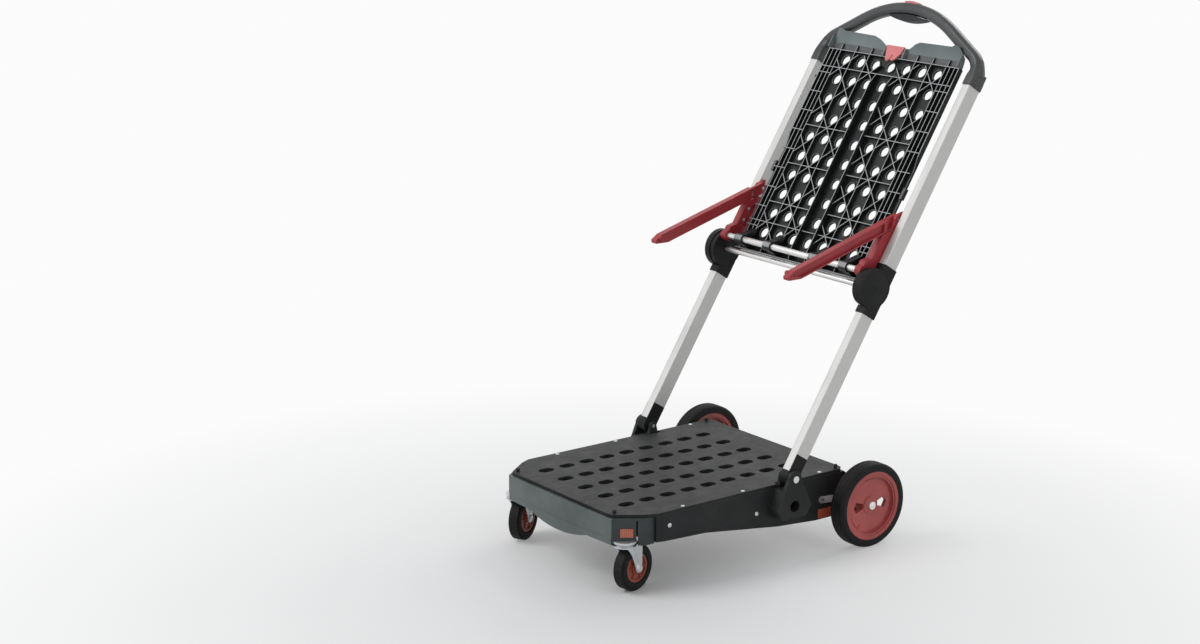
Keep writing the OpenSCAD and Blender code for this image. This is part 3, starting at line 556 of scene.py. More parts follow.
@dataclass(frozen=True)
class Anodised(Finish):
    """Anodised aluminium extrusion: fine die lines along the rail and faint smudges."""

    line_depth: float = 0.00002

    ROUGH_DRIFT: ClassVar[Span] = (-0.05, 0.08)
    DEEP: ClassVar[Tone] = Tone(0.90)
    LINE: ClassVar[Tone] = Tone(0.72)
    DIE_LINES: ClassVar[Pattern] = Pattern(1900.0, 3.0, 0.6, Grain.ALONG_RAIL)
    SMUDGE: ClassVar[Pattern] = Pattern(14.0, 5.0, 0.65)

    def paint(self, shader: Shader) -> None:
        """Build the nodes of this finish.

        Args:
            shader: nodes of the new material.
        """
        lines, smudge = shader.noise(self.DIE_LINES), shader.noise(self.SMUDGE)
        shader.put("Base Color", shader.blend(shader.between(lines, 0.0, 0.30),
                                              self.clouded(shader, smudge),
                                              self.toned(self.LINE)))
        shader.put("Metallic", 0.30)
        shader.put("Roughness", shader.sum_of(self.drifting(shader, smudge), lines, 0.10))
        shader.put("Anisotropic", 0.35)
        shader.put("Normal", shader.bump(lines, self.line_depth, 0.35,
                                         shader.soft_edges(self.edge)))


@dataclass(frozen=True)
class Powder(Finish):
    """Powder coat: orange peel, slight colour drift, dark chips and pale rubbed edges."""

    rub: float = 0.35
    peel_depth: float = 0.00006

    ROUGH_DRIFT: ClassVar[Span] = (-0.06, 0.09)
    DEEP: ClassVar[Tone] = Tone(0.86)
    PALE: ClassVar[Tone] = Tone(1.12, 0.008)
    RUBBED: ClassVar[Tone] = Tone(1.35, 0.08)
    CHIP_COLOUR: ClassVar[Colour] = (0.16, 0.05, 0.05)
    DRIFT: ClassVar[Pattern] = Pattern(12.0, 4.0, 0.5)
    CHIPS: ClassVar[Pattern] = Pattern(240.0, 6.0, 0.75)
    HANDLING: ClassVar[Pattern] = Pattern(70.0, 5.0, 0.7)
    PEEL: ClassVar[Pattern] = Pattern(900.0, 1.0, 0.4)

    def paint(self, shader: Shader) -> None:
        """Build the nodes of this finish.

        Args:
            shader: nodes of the new material.
        """
        soft = shader.soft_edges(self.edge)
        chips = shader.between(shader.noise(self.CHIPS), 0.0, 0.5, 0.69, 0.74)
        chipped = shader.blend(chips, self.clouded(shader, shader.noise(self.DRIFT)),
                               self.CHIP_COLOUR)
        shader.put("Base Color", shader.blend(shader.share(shader.edges(soft), self.rub),
                                              chipped, self.toned(self.RUBBED)))
        shader.put("Roughness", self.drifting(shader, shader.noise(self.HANDLING)))
        shader.put("Specular IOR Level", 0.35)
        shader.put("Coat Weight", 0.08)
        shader.put("Coat Roughness", 0.3)
        shader.put("Normal", shader.bump(shader.noise(self.PEEL), self.peel_depth, 0.4, soft))


@dataclass(frozen=True)
class Plated(Finish):
    """Plated or turned steel: spangle, brushing one way and a few dull blotches."""

    spangle: float = 0.25
    grain: Grain = Grain.EVEN
    line_depth: float = 0.00002

    ROUGH_DRIFT: ClassVar[Span] = (-0.05, 0.12)
    FLAKE: ClassVar[Tone] = Tone(0.62)
    FLAKES_PER_M: ClassVar[float] = 260.0
    DULL_COLOUR: ClassVar[Colour] = (0.50, 0.49, 0.45)
    CLOUD: ClassVar[Pattern] = Pattern(45.0, 5.0, 0.7)

    def paint(self, shader: Shader) -> None:
        """Build the nodes of this finish.

        Args:
            shader: nodes of the new material.
        """
        lines = shader.noise(Pattern(1500.0, 2.0, 0.6, self.grain))
        cloud = shader.noise(self.CLOUD)
        flake = shader.between(shader.cells(self.FLAKES_PER_M), 0.0, self.spangle, 0.0, 0.8)
        base = shader.blend(flake, self.colour, self.toned(self.FLAKE))
        shader.put("Base Color", shader.blend(shader.between(cloud, 0.0, 0.35, 0.5, 0.72),
                                              base, self.DULL_COLOUR))
        shader.put("Metallic", 0.85)
        shader.put("Roughness", shader.sum_of(self.drifting(shader, cloud), lines, 0.12))
        shader.put("Normal", shader.bump(lines, self.line_depth, 0.3,
                                         shader.soft_edges(self.edge)))


@dataclass(frozen=True)
class Rubber(Finish):
    """Solid rubber: matt, with pale dust in the pores, bloom and scuffs."""

    dust: float = 0.16
    rub: float = 0.10
    pore_depth: float = 0.00008

    ROUGH_DRIFT: ClassVar[Span] = (-0.06, 0.10)
    DEEP: ClassVar[Tone] = Tone(0.75)
    PALE: ClassVar[Tone] = Tone(1.25, 0.006)
    DUST_COLOUR: ClassVar[Colour] = (0.30, 0.29, 0.27)
    WORN_COLOUR: ClassVar[Colour] = (0.28, 0.27, 0.26)
    BLOOM: ClassVar[Pattern] = Pattern(28.0, 6.0, 0.65)
    PORES: ClassVar[Pattern] = Pattern(1600.0, 3.0, 0.6)
    SCUFF: ClassVar[Pattern] = Pattern(130.0, 6.0, 0.75, Grain.LONG_X)

    def paint(self, shader: Shader) -> None:
        """Build the nodes of this finish.

        Args:
            shader: nodes of the new material.
        """
        bloom, scuff = shader.noise(self.BLOOM), shader.noise(self.SCUFF)
        soft = shader.soft_edges(self.edge)
        dusty = shader.blend(shader.between(scuff, 0.0, self.dust, 0.5, 0.72),
                             self.clouded(shader, bloom), self.DUST_COLOUR)
        shader.put("Base Color", shader.blend(shader.share(shader.edges(soft), self.rub),
                                              dusty, self.WORN_COLOUR))
        shader.put("Roughness", self.drifting(shader, bloom))
        shader.put("Specular IOR Level", 0.16)
        relief = shader.sum_of(shader.noise(self.PORES), scuff, 0.6)
        shader.put("Normal", shader.bump(relief, self.pore_depth, 0.45, soft))


FINISHES: dict[str, Finish] = {
    f.name: f
    for f in (
        Moulded("bumper_plastic", (0.090, 0.108, 0.107), 0.42, 0.0012, rub=0.30, dust=0.02),
        Moulded("corner_plastic", (0.030, 0.036, 0.038), 0.46, 0.0012, rub=0.25, dust=0.02),
        Reflector("reflector", (0.50, 0.085, 0.020), 0.14),
        Moulded("deck_plastic", (0.0085, 0.0092, 0.0098), 0.50, 0.0008,
                dust=0.025, rub=0.22, sheen=0.2),
        Moulded("beam_plastic", (0.0095, 0.0102, 0.0108), 0.50, 0.0010,
                dust=0.02, rub=0.22, sheen=0.2),
        Plated("plated_steel", (0.62, 0.64, 0.66), 0.28, 0.0005),
        Plated("bright_steel", (0.66, 0.67, 0.69), 0.24, 0.0004,
               spangle=0.08, grain=Grain.ROUND_X),
        Rubber("castor_rubber", (0.0060, 0.0060, 0.0066), 0.62, 0.0009, dust=0.05),
        Rubber("wheel_rubber", (0.0050, 0.0050, 0.0056), 0.60, 0.0012, dust=0.05),
        Glossy("hub_plastic", (0.27, 0.056, 0.032), 0.36, 0.0007, rub=0.14, dust=0.0),
        Glossy("rim_plastic", (0.365, 0.064, 0.057), 0.38, 0.0009, rub=0.14, dust=0.0),
        Plated("cap_plated", (0.82, 0.82, 0.82), 0.16, 0.0006, spangle=0.04),
        Anodised("rail_aluminium", (0.62, 0.612, 0.598), 0.40, 0.0008),
        Moulded("knee_plastic", (0.0060, 0.0064, 0.0070), 0.46, 0.0011,
                dust=0.01, rub=0.20, sheen=0.14),
        Plated("rod_steel", (0.74, 0.74, 0.73), 0.26, 0.0005,
               spangle=0.05, grain=Grain.ROUND_X),
        Powder("red_paint", (0.320, 0.0225, 0.0290), 0.38, 0.0010),
        Moulded("handle_plastic", (0.022, 0.0235, 0.0250), 0.31, 0.0016,
                dust=0.0, rub=0.14, sheen=0.5),
        Rubber("grip_rubber", (0.020, 0.021, 0.023), 0.50, 0.0010, dust=0.02),
        Lattice("shelf_plastic", (0.0060, 0.0068, 0.0075), 0.40, 0.0005,
                dust=0.01, rub=0.50, sheen=0.25),
        Moulded("lip_plastic", (0.145, 0.172, 0.173), 0.40, 0.0012, dust=0.0, rub=0.40),
        Glossy("coral_plastic", (0.61, 0.175, 0.172), 0.36, 0.0008, rub=0.10, dust=0.0),
    )
}


class Paintbox:
    """Makes each finish once and gives it to the pieces that use its slot."""

    def __init__(self) -> None:
        """Start with no material made."""
        self.made: dict[str, bpy.types.Material] = {}

    def get(self, slot: str) -> bpy.types.Material:
        """The material of a slot, made on first use."""
        if slot not in self.made:
            self.made[slot] = FINISHES[slot].build()
        return self.made[slot]

    def dress_nodes(self) -> int:
        """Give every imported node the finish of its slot.

        Returns:
            How many nodes were dressed.
        """
        parts = frame["record"]["subparts"]
        for part in parts:
            obj = NODES[part["node"]]
            material = self.get(part["material_slot"])
            for place in obj.material_slots:
                place.material = material
            if not obj.material_slots:
                obj.data.materials.append(material)
        return len(parts)

    def dress_piece(self, obj: bpy.types.Object, slot: str, body: str) -> bpy.types.Object:
        """Give a new piece the finish of a slot, and its body.

        Args:
            obj: the piece.
            slot: the record's slot that it takes its finish from.
            body: the body that it rides on.

        Returns:
            The same piece.
        """
        obj.data.materials.clear()
        obj.data.materials.append(self.get(slot))
        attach(obj, body)
        LOG.info("piece %s on %s", obj.name, body)
        return obj


# Shapes that the fittings share.


def joint_point(name: str) -> Vector:
    """Where a joint sits at rest, in metres."""
    return Vector(next(j["pos_m"] for j in frame["joints"] if j["name"] == name))


def joint_axis(name: str) -> Vector:
    """Direction of a joint's axis."""
    return Vector(next(j["axis"] for j in frame["joints"] if j["name"] == name)).normalized()


def facing(along: Vector) -> Matrix:
    """Turn that brings Z to a direction."""
    return along.to_track_quat("Z", "Y").to_matrix()


def in_row(point: Vector, side: Side) -> Vector:
    """Carry a point of the knee's own frame, which leans with the rails, to the row's.

    Args:
        point: x across, y to the back and z up the rails from the knee.
        side: side of the cart, which gives x its sign.

    Returns:
        The point in the row's frame at rest.
    """
    knee = joint_point("knee")
    lean = math.radians(LEAN_DEG)
    return Vector((
        point.x * side.value,
        knee.y + point.y * math.cos(lean) + point.z * math.sin(lean),
        knee.z - point.y * math.sin(lean) + point.z * math.cos(lean),
    ))


def as_object(name: str, mesh: bmesh.types.BMesh, smooth_deg: float = 35.0) -> bpy.types.Object:
    """Put a mesh into the scene with its normals set.

    Args:
        name: name of the object.
        mesh: the mesh, which is freed here.
        smooth_deg: faces that meet at less than this angle shade as one surface.

    Returns:
        The new object.
    """
    bmesh.ops.remove_doubles(mesh, verts=mesh.verts, dist=1e-7)
    bmesh.ops.recalc_face_normals(mesh, faces=mesh.faces)
    sharp = math.radians(smooth_deg)
    for edge in mesh.edges:
        edge.smooth = len(edge.link_faces) == 2 and edge.calc_face_angle(0.0) < sharp
    for face in mesh.faces:
        face.smooth = True
    data = bpy.data.meshes.new(name)
    mesh.to_mesh(data)
    mesh.free()
    obj = bpy.data.objects.new(name, data)
    bpy.context.scene.collection.objects.link(obj)
    return obj


def absorb(mesh: bmesh.types.BMesh, piece: bpy.types.Object) -> None:
    """Move a loose piece's faces into a mesh.

    Args:
        mesh: the mesh that takes them.
        piece: the piece, which is removed here.
    """
    data = piece.data
    mesh.from_mesh(data)
    bpy.data.objects.remove(piece)
    bpy.data.meshes.remove(data)


def joined(name: str, pieces: Iterable[bpy.types.Object]) -> bpy.types.Object:
    """Join loose pieces of one kind.

    Args:
        name: name of the new object.
        pieces: the pieces, which are removed here.

    Returns:
        The new object.
    """
    mesh = bmesh.new()
    for piece in pieces:
        absorb(mesh, piece)
    return as_object(name, mesh)


def bridge(mesh: bmesh.types.BMesh, low: Ring, high: Ring) -> None:
    """Skin between two rings of as many points, one of which may be a single point.

    Args:
        mesh: mesh that it is added to.
        low: one ring.
        high: the other.
    """
    count = max(len(low), len(high))
    for k in range(count):
        n = (k + 1) % count
        corners = (low[k % len(low)], low[n % len(low)], high[n % len(high)], high[k % len(high)])
        unique = list(dict.fromkeys(corners))
        if len(unique) > 2:
            mesh.faces.new(unique)


def loft(mesh: bmesh.types.BMesh, rings: Sequence[Ring], closed: bool = False) -> None:
    """Skin from ring to ring.

    Args:
        mesh: mesh that it is added to.
        rings: the rings in order.
        closed: whether the first and the last ring get a face.
    """
    for low, high in zip(rings, rings[1:]):
        bridge(mesh, low, high)
    if closed:
        mesh.faces.new(rings[0])
        mesh.faces.new(list(reversed(rings[-1])))


def turned(name: str, profile: Profile, at: Vector, along: Vector,
           steps: int = 48) -> bpy.types.Object:
    """A turned piece: a profile of (radius, distance along the axis) spun about an axis.

    Args:
        name: name of the object.
        profile: points from one end of the axis to the other, in metres.
        at: origin of the profile.
        along: direction of the axis.
        steps: segments of the turn, which is 6 for a hexagon.

    Returns:
        The new object.
    """
    mesh = bmesh.new()
    turn = facing(along)
    angles = [math.tau * k / steps for k in range(steps)]
    rings: list[Ring] = []
    for radius, height in profile:
        rings.append([
            mesh.verts.new(at + turn @ Vector((radius * math.cos(a), radius * math.sin(a), height)))
            for a in (angles if radius > 0.0 else (0.0,))
        ])
    loft(mesh, rings)
    return as_object(name, mesh)


def rounded_rectangle(width: float, depth: float, radius: float,
                      count: int = 64) -> list[tuple[float, float]]:
    """Rounded rectangle about its middle.

    Args:
        width: size across.
        depth: size from front to back.
        radius: radius of the corners.
        count: number of points.

    Returns:
        Points at even turns round the outline.
    """
    # How much sooner than the turn itself a point leaves the middle of a side.
    haste = 6
    points = []
    for k in range(count):
        turn = math.tau * k / count
        c, s = math.cos(turn), math.sin(turn)
        x, y = width / 2 - radius, depth / 2 - radius
        points.append((math.copysign(x, c) * min(1.0, abs(c) * haste) + radius * c,
                       math.copysign(y, s) * min(1.0, abs(s) * haste) + radius * s))
    return points


def loose_parts(mesh: bmesh.types.BMesh) -> list[Ring]:
    """Split a mesh into the parts that hang together.

    Args:
        mesh: the mesh.

    Returns:
        Vertices of each part, in the order of the mesh.
    """
    parts: list[Ring] = []
    seen: set[bmesh.types.BMVert] = set()
    for first in mesh.verts:
        if first in seen:
            continue
        seen.add(first)
        part = [first]
        for vert in part:
            for other in (edge.other_vert(vert) for edge in vert.link_edges):
                if other not in seen:
                    seen.add(other)
                    part.append(other)
        parts.append(part)
    return parts


@dataclass(frozen=True)
class ScrewHead:
    """Pan head with a cross recess."""

    radius: float
    height: float

    def build(self, name: str, at: Vector, along: Vector) -> bpy.types.Object:
        """Build the head.

        Args:
            name: name of the object.
            at: middle of the head's seat.
            along: direction that the head faces.

        Returns:
            The new object.
        """
        r, h = self.radius, self.height
        profile = [(r, 0.0), (r, h * 0.35), (r * 0.93, h * 0.75), (r * 0.6, h), (0.0, h * 1.06)]
        mesh = bmesh.new()
        absorb(mesh, turned(name, profile, at, along, 28))
        seat = Matrix.Translation(at + along * (h * 1.02)) @ facing(along).to_4x4()
        size = Matrix.Diagonal((r * 1.05, r * 0.22, h * 0.12, 1.0))
        for angle in (0.0, math.pi / 2):
            place = seat @ Matrix.Rotation(angle, 4, "Z")
            bmesh.ops.create_cube(mesh, size=1.0, matrix=place @ size)
        return as_object(name, mesh)


@dataclass(frozen=True)
class HexBolt:
    """Hexagon head on a pressed washer, with a chamfered top."""

    across: float
    height: float

    def build(self, name: str, at: Vector, along: Vector) -> bpy.types.Object:
        """Build the head and its washer.

        Args:
            name: name of the object.
            at: middle of the washer's seat.
            along: direction that the head faces.

        Returns:
            The new object.
        """
        r, h = self.across / math.sqrt(3), self.height
        washer = [(0.0, 0.0), (r * 1.28, 0.0), (r * 1.30, 0.0006), (r * 1.22, 0.0011),
                  (0.0, 0.0011)]
        head = [(0.0, 0.0009), (r, 0.0009), (r, h * 0.86), (r * 0.90, h), (r * 0.55, h),
                (r * 0.5, h * 0.92), (0.0, h * 0.92)]
        return joined(name, [turned(f"{name}_washer", washer, at, along, 40),
                             turned(f"{name}_head", head, at, along, 6)])


# Sub-assemblies of fittings.


@dataclass
class Assembly:
    """Base of the sub-assemblies, which are dressed from one paintbox."""

    box: Paintbox

    def build(self) -> None:
        """Build and dress the fittings."""
        raise NotImplementedError


@dataclass
class Castors(Assembly):
    """Fittings of the two castors: ball race, axle bolt and spokes of the hub."""

    race_radius: float = 0.0195
    race_height: float = 0.0028
    race_lap: float = 0.0002
    bolt: HexBolt = HexBolt(0.0118, 0.0034)
    bolt_lap: float = 0.0032
    plain_head_radius: float = 0.006
    core_radius: float = 0.0039
    core_short: float = 0.002
    spokes: int = 6
    spoke_size: tuple[float, float, float] = (0.0125, 0.0022, 0.0030)
    spoke_radius: float = 0.019
    spoke_depth: float = 0.0091

    def build(self) -> None:
        """Build and dress both castors' fittings."""
        for side in Side:
            self.race(side)
            self.bolts(side)
            self.hub_face(side)

    def axle(self, side: Side) -> tuple[Vector, Vector]:
        """Middle and direction of a castor's axle."""
        name = f"castor_spin_{side.tag}"
        return joint_point(name), joint_axis(name)

    def race(self, side: Side) -> None:
        """Build the rolled ball race between the fork's crown and its seat.

        Args:
            side: side of the cart.
        """
        stem = joint_point(f"castor_swivel_{side.tag}")
        r, h = self.race_radius, self.race_height
        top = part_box("castor_seats")[0].z + self.race_lap
        profile = [(r * 0.72, 0.0), (r * 0.94, 0.0), (r, h * 0.30), (r, h * 0.62),
                   (r * 0.95, h * 0.96), (r * 0.72, h * 0.96), (r * 0.72, 0.0)]
        at = Vector((stem.x, stem.y, top - h))
        ring = turned(f"ball_race_{side.tag}", profile, at, Vector((0, 0, 1)), 64)
        self.box.dress_piece(ring, "plated_steel", f"castor_{side.tag}")

    def bolts(self, side: Side) -> None:
        """Build the axle bolt, with its head on one cheek and its nut on the other.

        Args:
            side: side of the cart.
        """
        hub, axis = self.axle(side)
        reach = self.half_axle(side)
        pieces = [self.bolt.build(f"end_{way}", hub + axis * way * (reach - self.bolt_lap),
                                  axis * way) for way in (1, -1)]
        r, half = self.core_radius, reach - self.core_short
        core = [(0.0, -half), (r, -half), (r, half), (0.0, half)]
        pieces.append(turned("core", core, hub, axis, 24))
        bolt = joined(f"axle_bolt_{side.tag}", pieces)
        self.box.dress_piece(bolt, "bright_steel", f"castor_{side.tag}")
        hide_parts(f"castor_axle_{side.tag}")

    def half_axle(self, side: Side) -> float:
        """Measure the axle by its node's box and direction.

        Args:
            side: side of the cart.

        Returns:
            Half of its length.
        """
        low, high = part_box(f"castor_axle_{side.tag}")
        axis = self.axle(side)[1]
        return ((high - low).x / 2 - self.plain_head_radius * abs(axis.y)) / abs(axis.x)

    def hub_face(self, side: Side) -> None:
        """Build the short spokes in the recess of each face of the hub.

        Args:
            side: side of the cart.
        """
        hub, axis = self.axle(side)
        mesh = bmesh.new()
        turn = Matrix.Translation(hub) @ facing(axis).to_4x4()
        size = Matrix.Diagonal((*self.spoke_size, 1.0))
        for way in (1, -1):
            shift = Matrix.Translation((self.spoke_radius, 0, way * self.spoke_depth))
            for k in range(self.spokes):
                spin = Matrix.Rotation(math.tau * k / self.spokes, 4, "Z")
                bmesh.ops.create_cube(mesh, size=1.0, matrix=turn @ spin @ shift @ size)
        spokes = as_object(f"hub_spokes_{side.tag}", mesh)
        self.box.dress_piece(spokes, "hub_plastic", f"castor_wheel_{side.tag}")


@dataclass
class RearWheels(Assembly):
    """Trim of the two rear wheels: push cap and fine rings on the tyre's outer wall."""

    cap_radius: float = 0.0086
    cap_depth: float = 0.0072
    ring_radii: tuple[float, float] = (0.0762, 0.0790)
    ring_foot: float = 0.0006
    ring_crest: float = 0.0003
    ring_rise: float = 0.00028
    ring_root: float = 0.0004
    ring_depth: float = 0.0003

    def build(self) -> None:
        """Build and dress both wheels' trim."""
        for side in Side:
            self.cap(side)
            self.rings(side)

    def face(self, side: Side) -> Vector:
        """Find the middle of the tyre's outer face.

        Args:
            side: side of the cart.

        Returns:
            The point on the wheel's axis.
        """
        low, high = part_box(f"wheel_tyre_{side.tag}")
        at = (low + high) / 2
        at.x = high.x if side is Side.RIGHT else low.x
        return at

    def cap(self, side: Side) -> None:
        """Build the pressed cap with a turned-in rim and a crowned middle.

        Args:
            side: side of the cart.
        """
        r = self.cap_radius
        profile = [(r, 0.0), (r * 1.02, 0.0012), (r, 0.0050), (r * 0.93, 0.0062),
                   (r * 0.80, 0.0066), (r * 0.72, 0.0062), (r * 0.5, 0.0066), (r * 0.25, 0.0070),
                   (0.0, 0.0071)]
        base = self.face(side) - side.out * self.cap_depth
        cap = turned(f"push_cap_{side.tag}", profile, base, side.out, 56)
        self.box.dress_piece(cap, "cap_plated", f"rear_wheel_{side.tag}")
        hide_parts(f"wheel_cap_{side.tag}")

    def rings(self, side: Side) -> None:
        """Build the fine raised rings moulded on the wall of the tyre.

        Args:
            side: side of the cart.
        """
        at = self.face(side) - side.out * self.ring_depth
        rings = []
        for k, r in enumerate(self.ring_radii):
            profile = [(r - self.ring_foot, -self.ring_root), (r - self.ring_crest, self.ring_rise),
                       (r + self.ring_crest, self.ring_rise), (r + self.ring_foot, -self.ring_root)]
            rings.append(turned(f"ring_{k}", profile, at, side.out, 128))
        self.box.dress_piece(joined(f"tyre_rings_{side.tag}", rings), "wheel_rubber",
                        f"rear_wheel_{side.tag}")


@dataclass
class Knees(Assembly):
    """Domed covers on the outer faces of the two knees."""

    radius: float = 0.0372
    lap: float = 0.0010

    def build(self) -> None:
        """Build and dress both covers."""
        knee = joint_point("knee")
        r = self.radius
        profile = [(r, 0.0), (r * 0.985, 0.0005), (r * 0.8, 0.0009), (r * 0.5, 0.0012),
                   (0.0062, 0.0013), (0.0058, 0.0005), (0.0044, 0.0002), (0.0036, 0.0009),
                   (0.0, 0.0012)]
        for side in Side:
            low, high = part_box(f"knee_lower_{side.tag}")
            face = high.x if side is Side.RIGHT else low.x
            at = Vector((face, knee.y, knee.z)) - side.out * self.lap
            cover = turned(f"knee_cover_{side.tag}", profile, at, side.out, 96)
            self.box.dress_piece(cover, "knee_plastic", "legs")


@dataclass
class ShelfRecess(Assembly):
    """Dark recess with short ribs between the lattice and the pale band of the lip; its black skin on the lip's
    hollow wall is painted shade, the ribs are moulded.

    Its sizes are in the knee's own frame, which leans with the rails.
    """

    half_width: float = 0.1885
    end_gap: float = 0.0036
    bottom: float = 0.4863
    height: float = 0.0147
    arc_middle: float = -0.047
    arc_radius: float = 0.052
    latch_half: float = 0.0315
    skin: Span = (0.0001, 0.0007)
    skin_foot: float = 0.0002
    skin_steps: int = 6
    rib_places: tuple[float, ...] = (-0.159, -0.1138, -0.0683, 0.0683, 0.1138, 0.159)
    rib_half: float = 0.0009
    rib_front: float = -0.0014
    rib_slope: float = 0.0016
    rib_square: float = 0.72
    rib_foot: float = 0.0001
    rib_lap: float = 0.0003

    def build(self) -> None:
        """Build and dress the ribs and the black skin of painted shade."""
        mesh = bmesh.new()
        for side in Side:
            self.wall(mesh, side)
        for x in self.rib_places:
            self.rib(mesh, x)
        self.box.dress_piece(as_object("lip_ribs_and_painted_shade", mesh), "shelf_plastic", "shelf")

    def back(self, height: float) -> float:
        """Depth of the lip's inner wall at a height above the lattice."""
        return self.arc_middle + math.sqrt(self.arc_radius**2 - height**2)

    def wall(self, mesh: bmesh.types.BMesh, side: Side) -> None:
        """Add a thin curved black skin of painted shade on the lip's inner wall, on one side of the latch.

        Args:
            mesh: mesh that it is added to.
            side: side of the cart.
        """
        near, far = self.skin
        end = self.half_width - self.end_gap
        corners = ((self.latch_half, near), (self.latch_half, far), (end, far), (end, near))
        rows = []
        for k in range(self.skin_steps + 1):
            h = self.skin_foot + self.height * k / self.skin_steps
            rows.append([mesh.verts.new(in_row(Vector((x, self.back(h) - lift, self.bottom + h)),
                                               side)) for x, lift in corners])
        loft(mesh, rows, closed=True)

    def rib(self, mesh: bmesh.types.BMesh, x: float) -> None:
        """Add a short rib across the recess, sloped at its top.

        Args:
            mesh: mesh that it is added to.
            x: place across the shelf.
        """
        front, top = self.rib_front, self.height
        outline = [(front, self.rib_foot), (front, top * self.rib_square),
                   (front + self.rib_slope, top)]
        outline += [(self.back(h) - self.rib_lap, h) for h in (top, top / 2, self.skin_foot)]
        faces = [[mesh.verts.new(in_row(Vector((x + way * self.rib_half, y, self.bottom + z)),
                                        Side.RIGHT)) for y, z in outline] for way in (-1, 1)]
        loft(mesh, faces, closed=True)


@dataclass
class HandleBoots(Assembly):
    """Smooth boots that carry the handle tube down over the ends of the rails.

    Their sizes are in the knee's own frame, which leans with the rails.
    """

    rail_width: float = 0.02
    rail_depth: float = 0.034
    rail_length: float = 0.470
    rail_mid: float = 0.227
    rail_back: float = 0.0186
    lap: float = 0.0145
    skin: float = 0.0022
    rail_corner: float = 0.0045
    tube_width: float = 0.026
    tube_depth: float = 0.024
    tube_skin: float = 0.0006
    tube_corner: float = 0.0104
    tube_out: float = 0.2275
    corner_radius: float = 0.047
    arch_height: float = 0.481
    arch_lean_deg: float = 14.5
    top_turn_deg: float = 36.0
    lip: float = 0.0009
    lip_height: float = 0.0007
    lip_reach: Span = (0.016, 0.020)
    steps: int = 12

    def build(self) -> None:
        """Build and dress both boots."""
        for side in Side:
            mesh = bmesh.new()
            loft(mesh, [[mesh.verts.new(in_row(p, side)) for p in ring] for ring in self.rings()])
            boot = as_object(f"handle_boot_{side.tag}", mesh, smooth_deg=50.0)
            self.box.dress_piece(boot, "handle_plastic", "upper_frame")

    def rings(self) -> list[list[Vector]]:
        """Run from the rail's outline to the tube's, tangent to both.

        Returns:
            Rings of points from the foot to the top.
        """
        foot = rounded_rectangle(self.rail_width + 2 * self.skin,
                                 self.rail_depth + 2 * self.skin, self.rail_corner)
        rings = [self.sleeve(foot, z, inset) for z, inset in (
            (-self.lap, self.lip), (self.lip_height - self.lap, 0.0), (-self.lap * 0.5, 0.0),
            (0.0, 0.0))]
        turn = math.radians(self.top_turn_deg)
        bent = Matrix.Rotation(math.radians(self.arch_lean_deg), 3, "X")
        across = bent @ Vector((math.cos(turn), 0, math.sin(turn)))
        deep = bent @ Vector((0, 1, 0))
        middle = bent @ Vector((0, 0, self.corner_radius * math.sin(turn)))
        middle.x = self.tube_out - self.corner_radius * (1 - math.cos(turn))
        middle += Vector((0, self.rail_back, self.arch_height))
        tube = rounded_rectangle(self.tube_width + 2 * self.tube_skin,
                                 self.tube_depth + 2 * self.tube_skin, self.tube_corner)
        ends = [middle + across * x + deep * y for x, y in tube]
        reach = (middle - Vector((self.rail_mid, self.rail_back, self.rail_length))).length
        leave = Vector((0, 0, 1)) * reach
        arrive = bent @ Vector((-math.sin(turn), 0, math.cos(turn))) * reach
        starts = rings[-1]
        for k in range(1, self.steps + 1):
            t = k / self.steps
            h0, h1 = 2 * t**3 - 3 * t**2 + 1, t**3 - 2 * t**2 + t
            h2, h3 = 3 * t**2 - 2 * t**3, t**3 - t**2
            rings.append([a * h0 + leave * h1 + b * h2 + arrive * h3
                          for a, b in zip(starts, ends)])
        return rings

    def sleeve(self, foot: Profile, z: float, inset: float) -> list[Vector]:
        """Place the rail's outline at a height.

        Args:
            foot: the outline about the rail's middle.
            z: height from the rail's end.
            inset: how far it is drawn in, for the rounded lower edge.

        Returns:
            The ring's points.
        """
        narrow, shallow = (1 - inset / reach for reach in self.lip_reach)
        return [Vector((self.rail_mid + x * narrow, self.rail_back + y * shallow,
                        self.rail_length + z)) for x, y in foot]


@dataclass
class Screws(Assembly):
    """Cross-recessed screws over the plain heads of the frame and the deck."""

    weld: float = 1e-6
    steep: float = 0.5

    def build(self) -> None:
        """Build and dress the screws."""
        for node, body in (("frame_screws", "upper_frame"), ("deck_screws", "base")):
            screws = joined(f"{node}_heads", self.heads(NODES[node]))
            self.box.dress_piece(screws, "bright_steel", body)
            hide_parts(node)

    def heads(self, obj: bpy.types.Object) -> list[bpy.types.Object]:
        """Build a head over each plain one in a node.

        Args:
            obj: the node's object.

        Returns:
            The loose heads.
        """
        mesh = bmesh.new()
        mesh.from_mesh(obj.data)
        bmesh.ops.remove_doubles(mesh, verts=mesh.verts, dist=self.weld)
        heads = []
        for k, part in enumerate(loose_parts(mesh)):
            centre = sum((v.co for v in part), Vector()) / len(part)
            flat = max((f for v in part for f in v.link_faces), key=lambda f: f.calc_area())
            n = flat.normal
            out = n if self.faces_out(obj.name, centre, n) else -n
            spokes = [v.co - centre for v in part]
            half = max(spoke.dot(n) for spoke in spokes)
            radius = max((spoke - n * spoke.dot(n)).length for spoke in spokes)
            head = ScrewHead(radius, 2 * half)
            heads.append(head.build(f"{obj.name}_{k}", centre - out * half, out))
        mesh.free()
        return heads

    def faces_out(self, node: str, at: Vector, n: Vector) -> bool:
        """Tell whether a normal points away from what a screw is driven into.

        Args:
            node: name of the screws' node.
            at: middle of the head.
            n: normal of one of its flat faces.

        Returns:
            Whether the head faces that way.
        """
        if node == "deck_screws":
            return n.z > 0 if abs(n.z) > self.steep else n.x * at.x > 0
        return n.y > 0 if abs(n.y) > self.steep else n.x * at.x < 0


# Floor, light and camera.


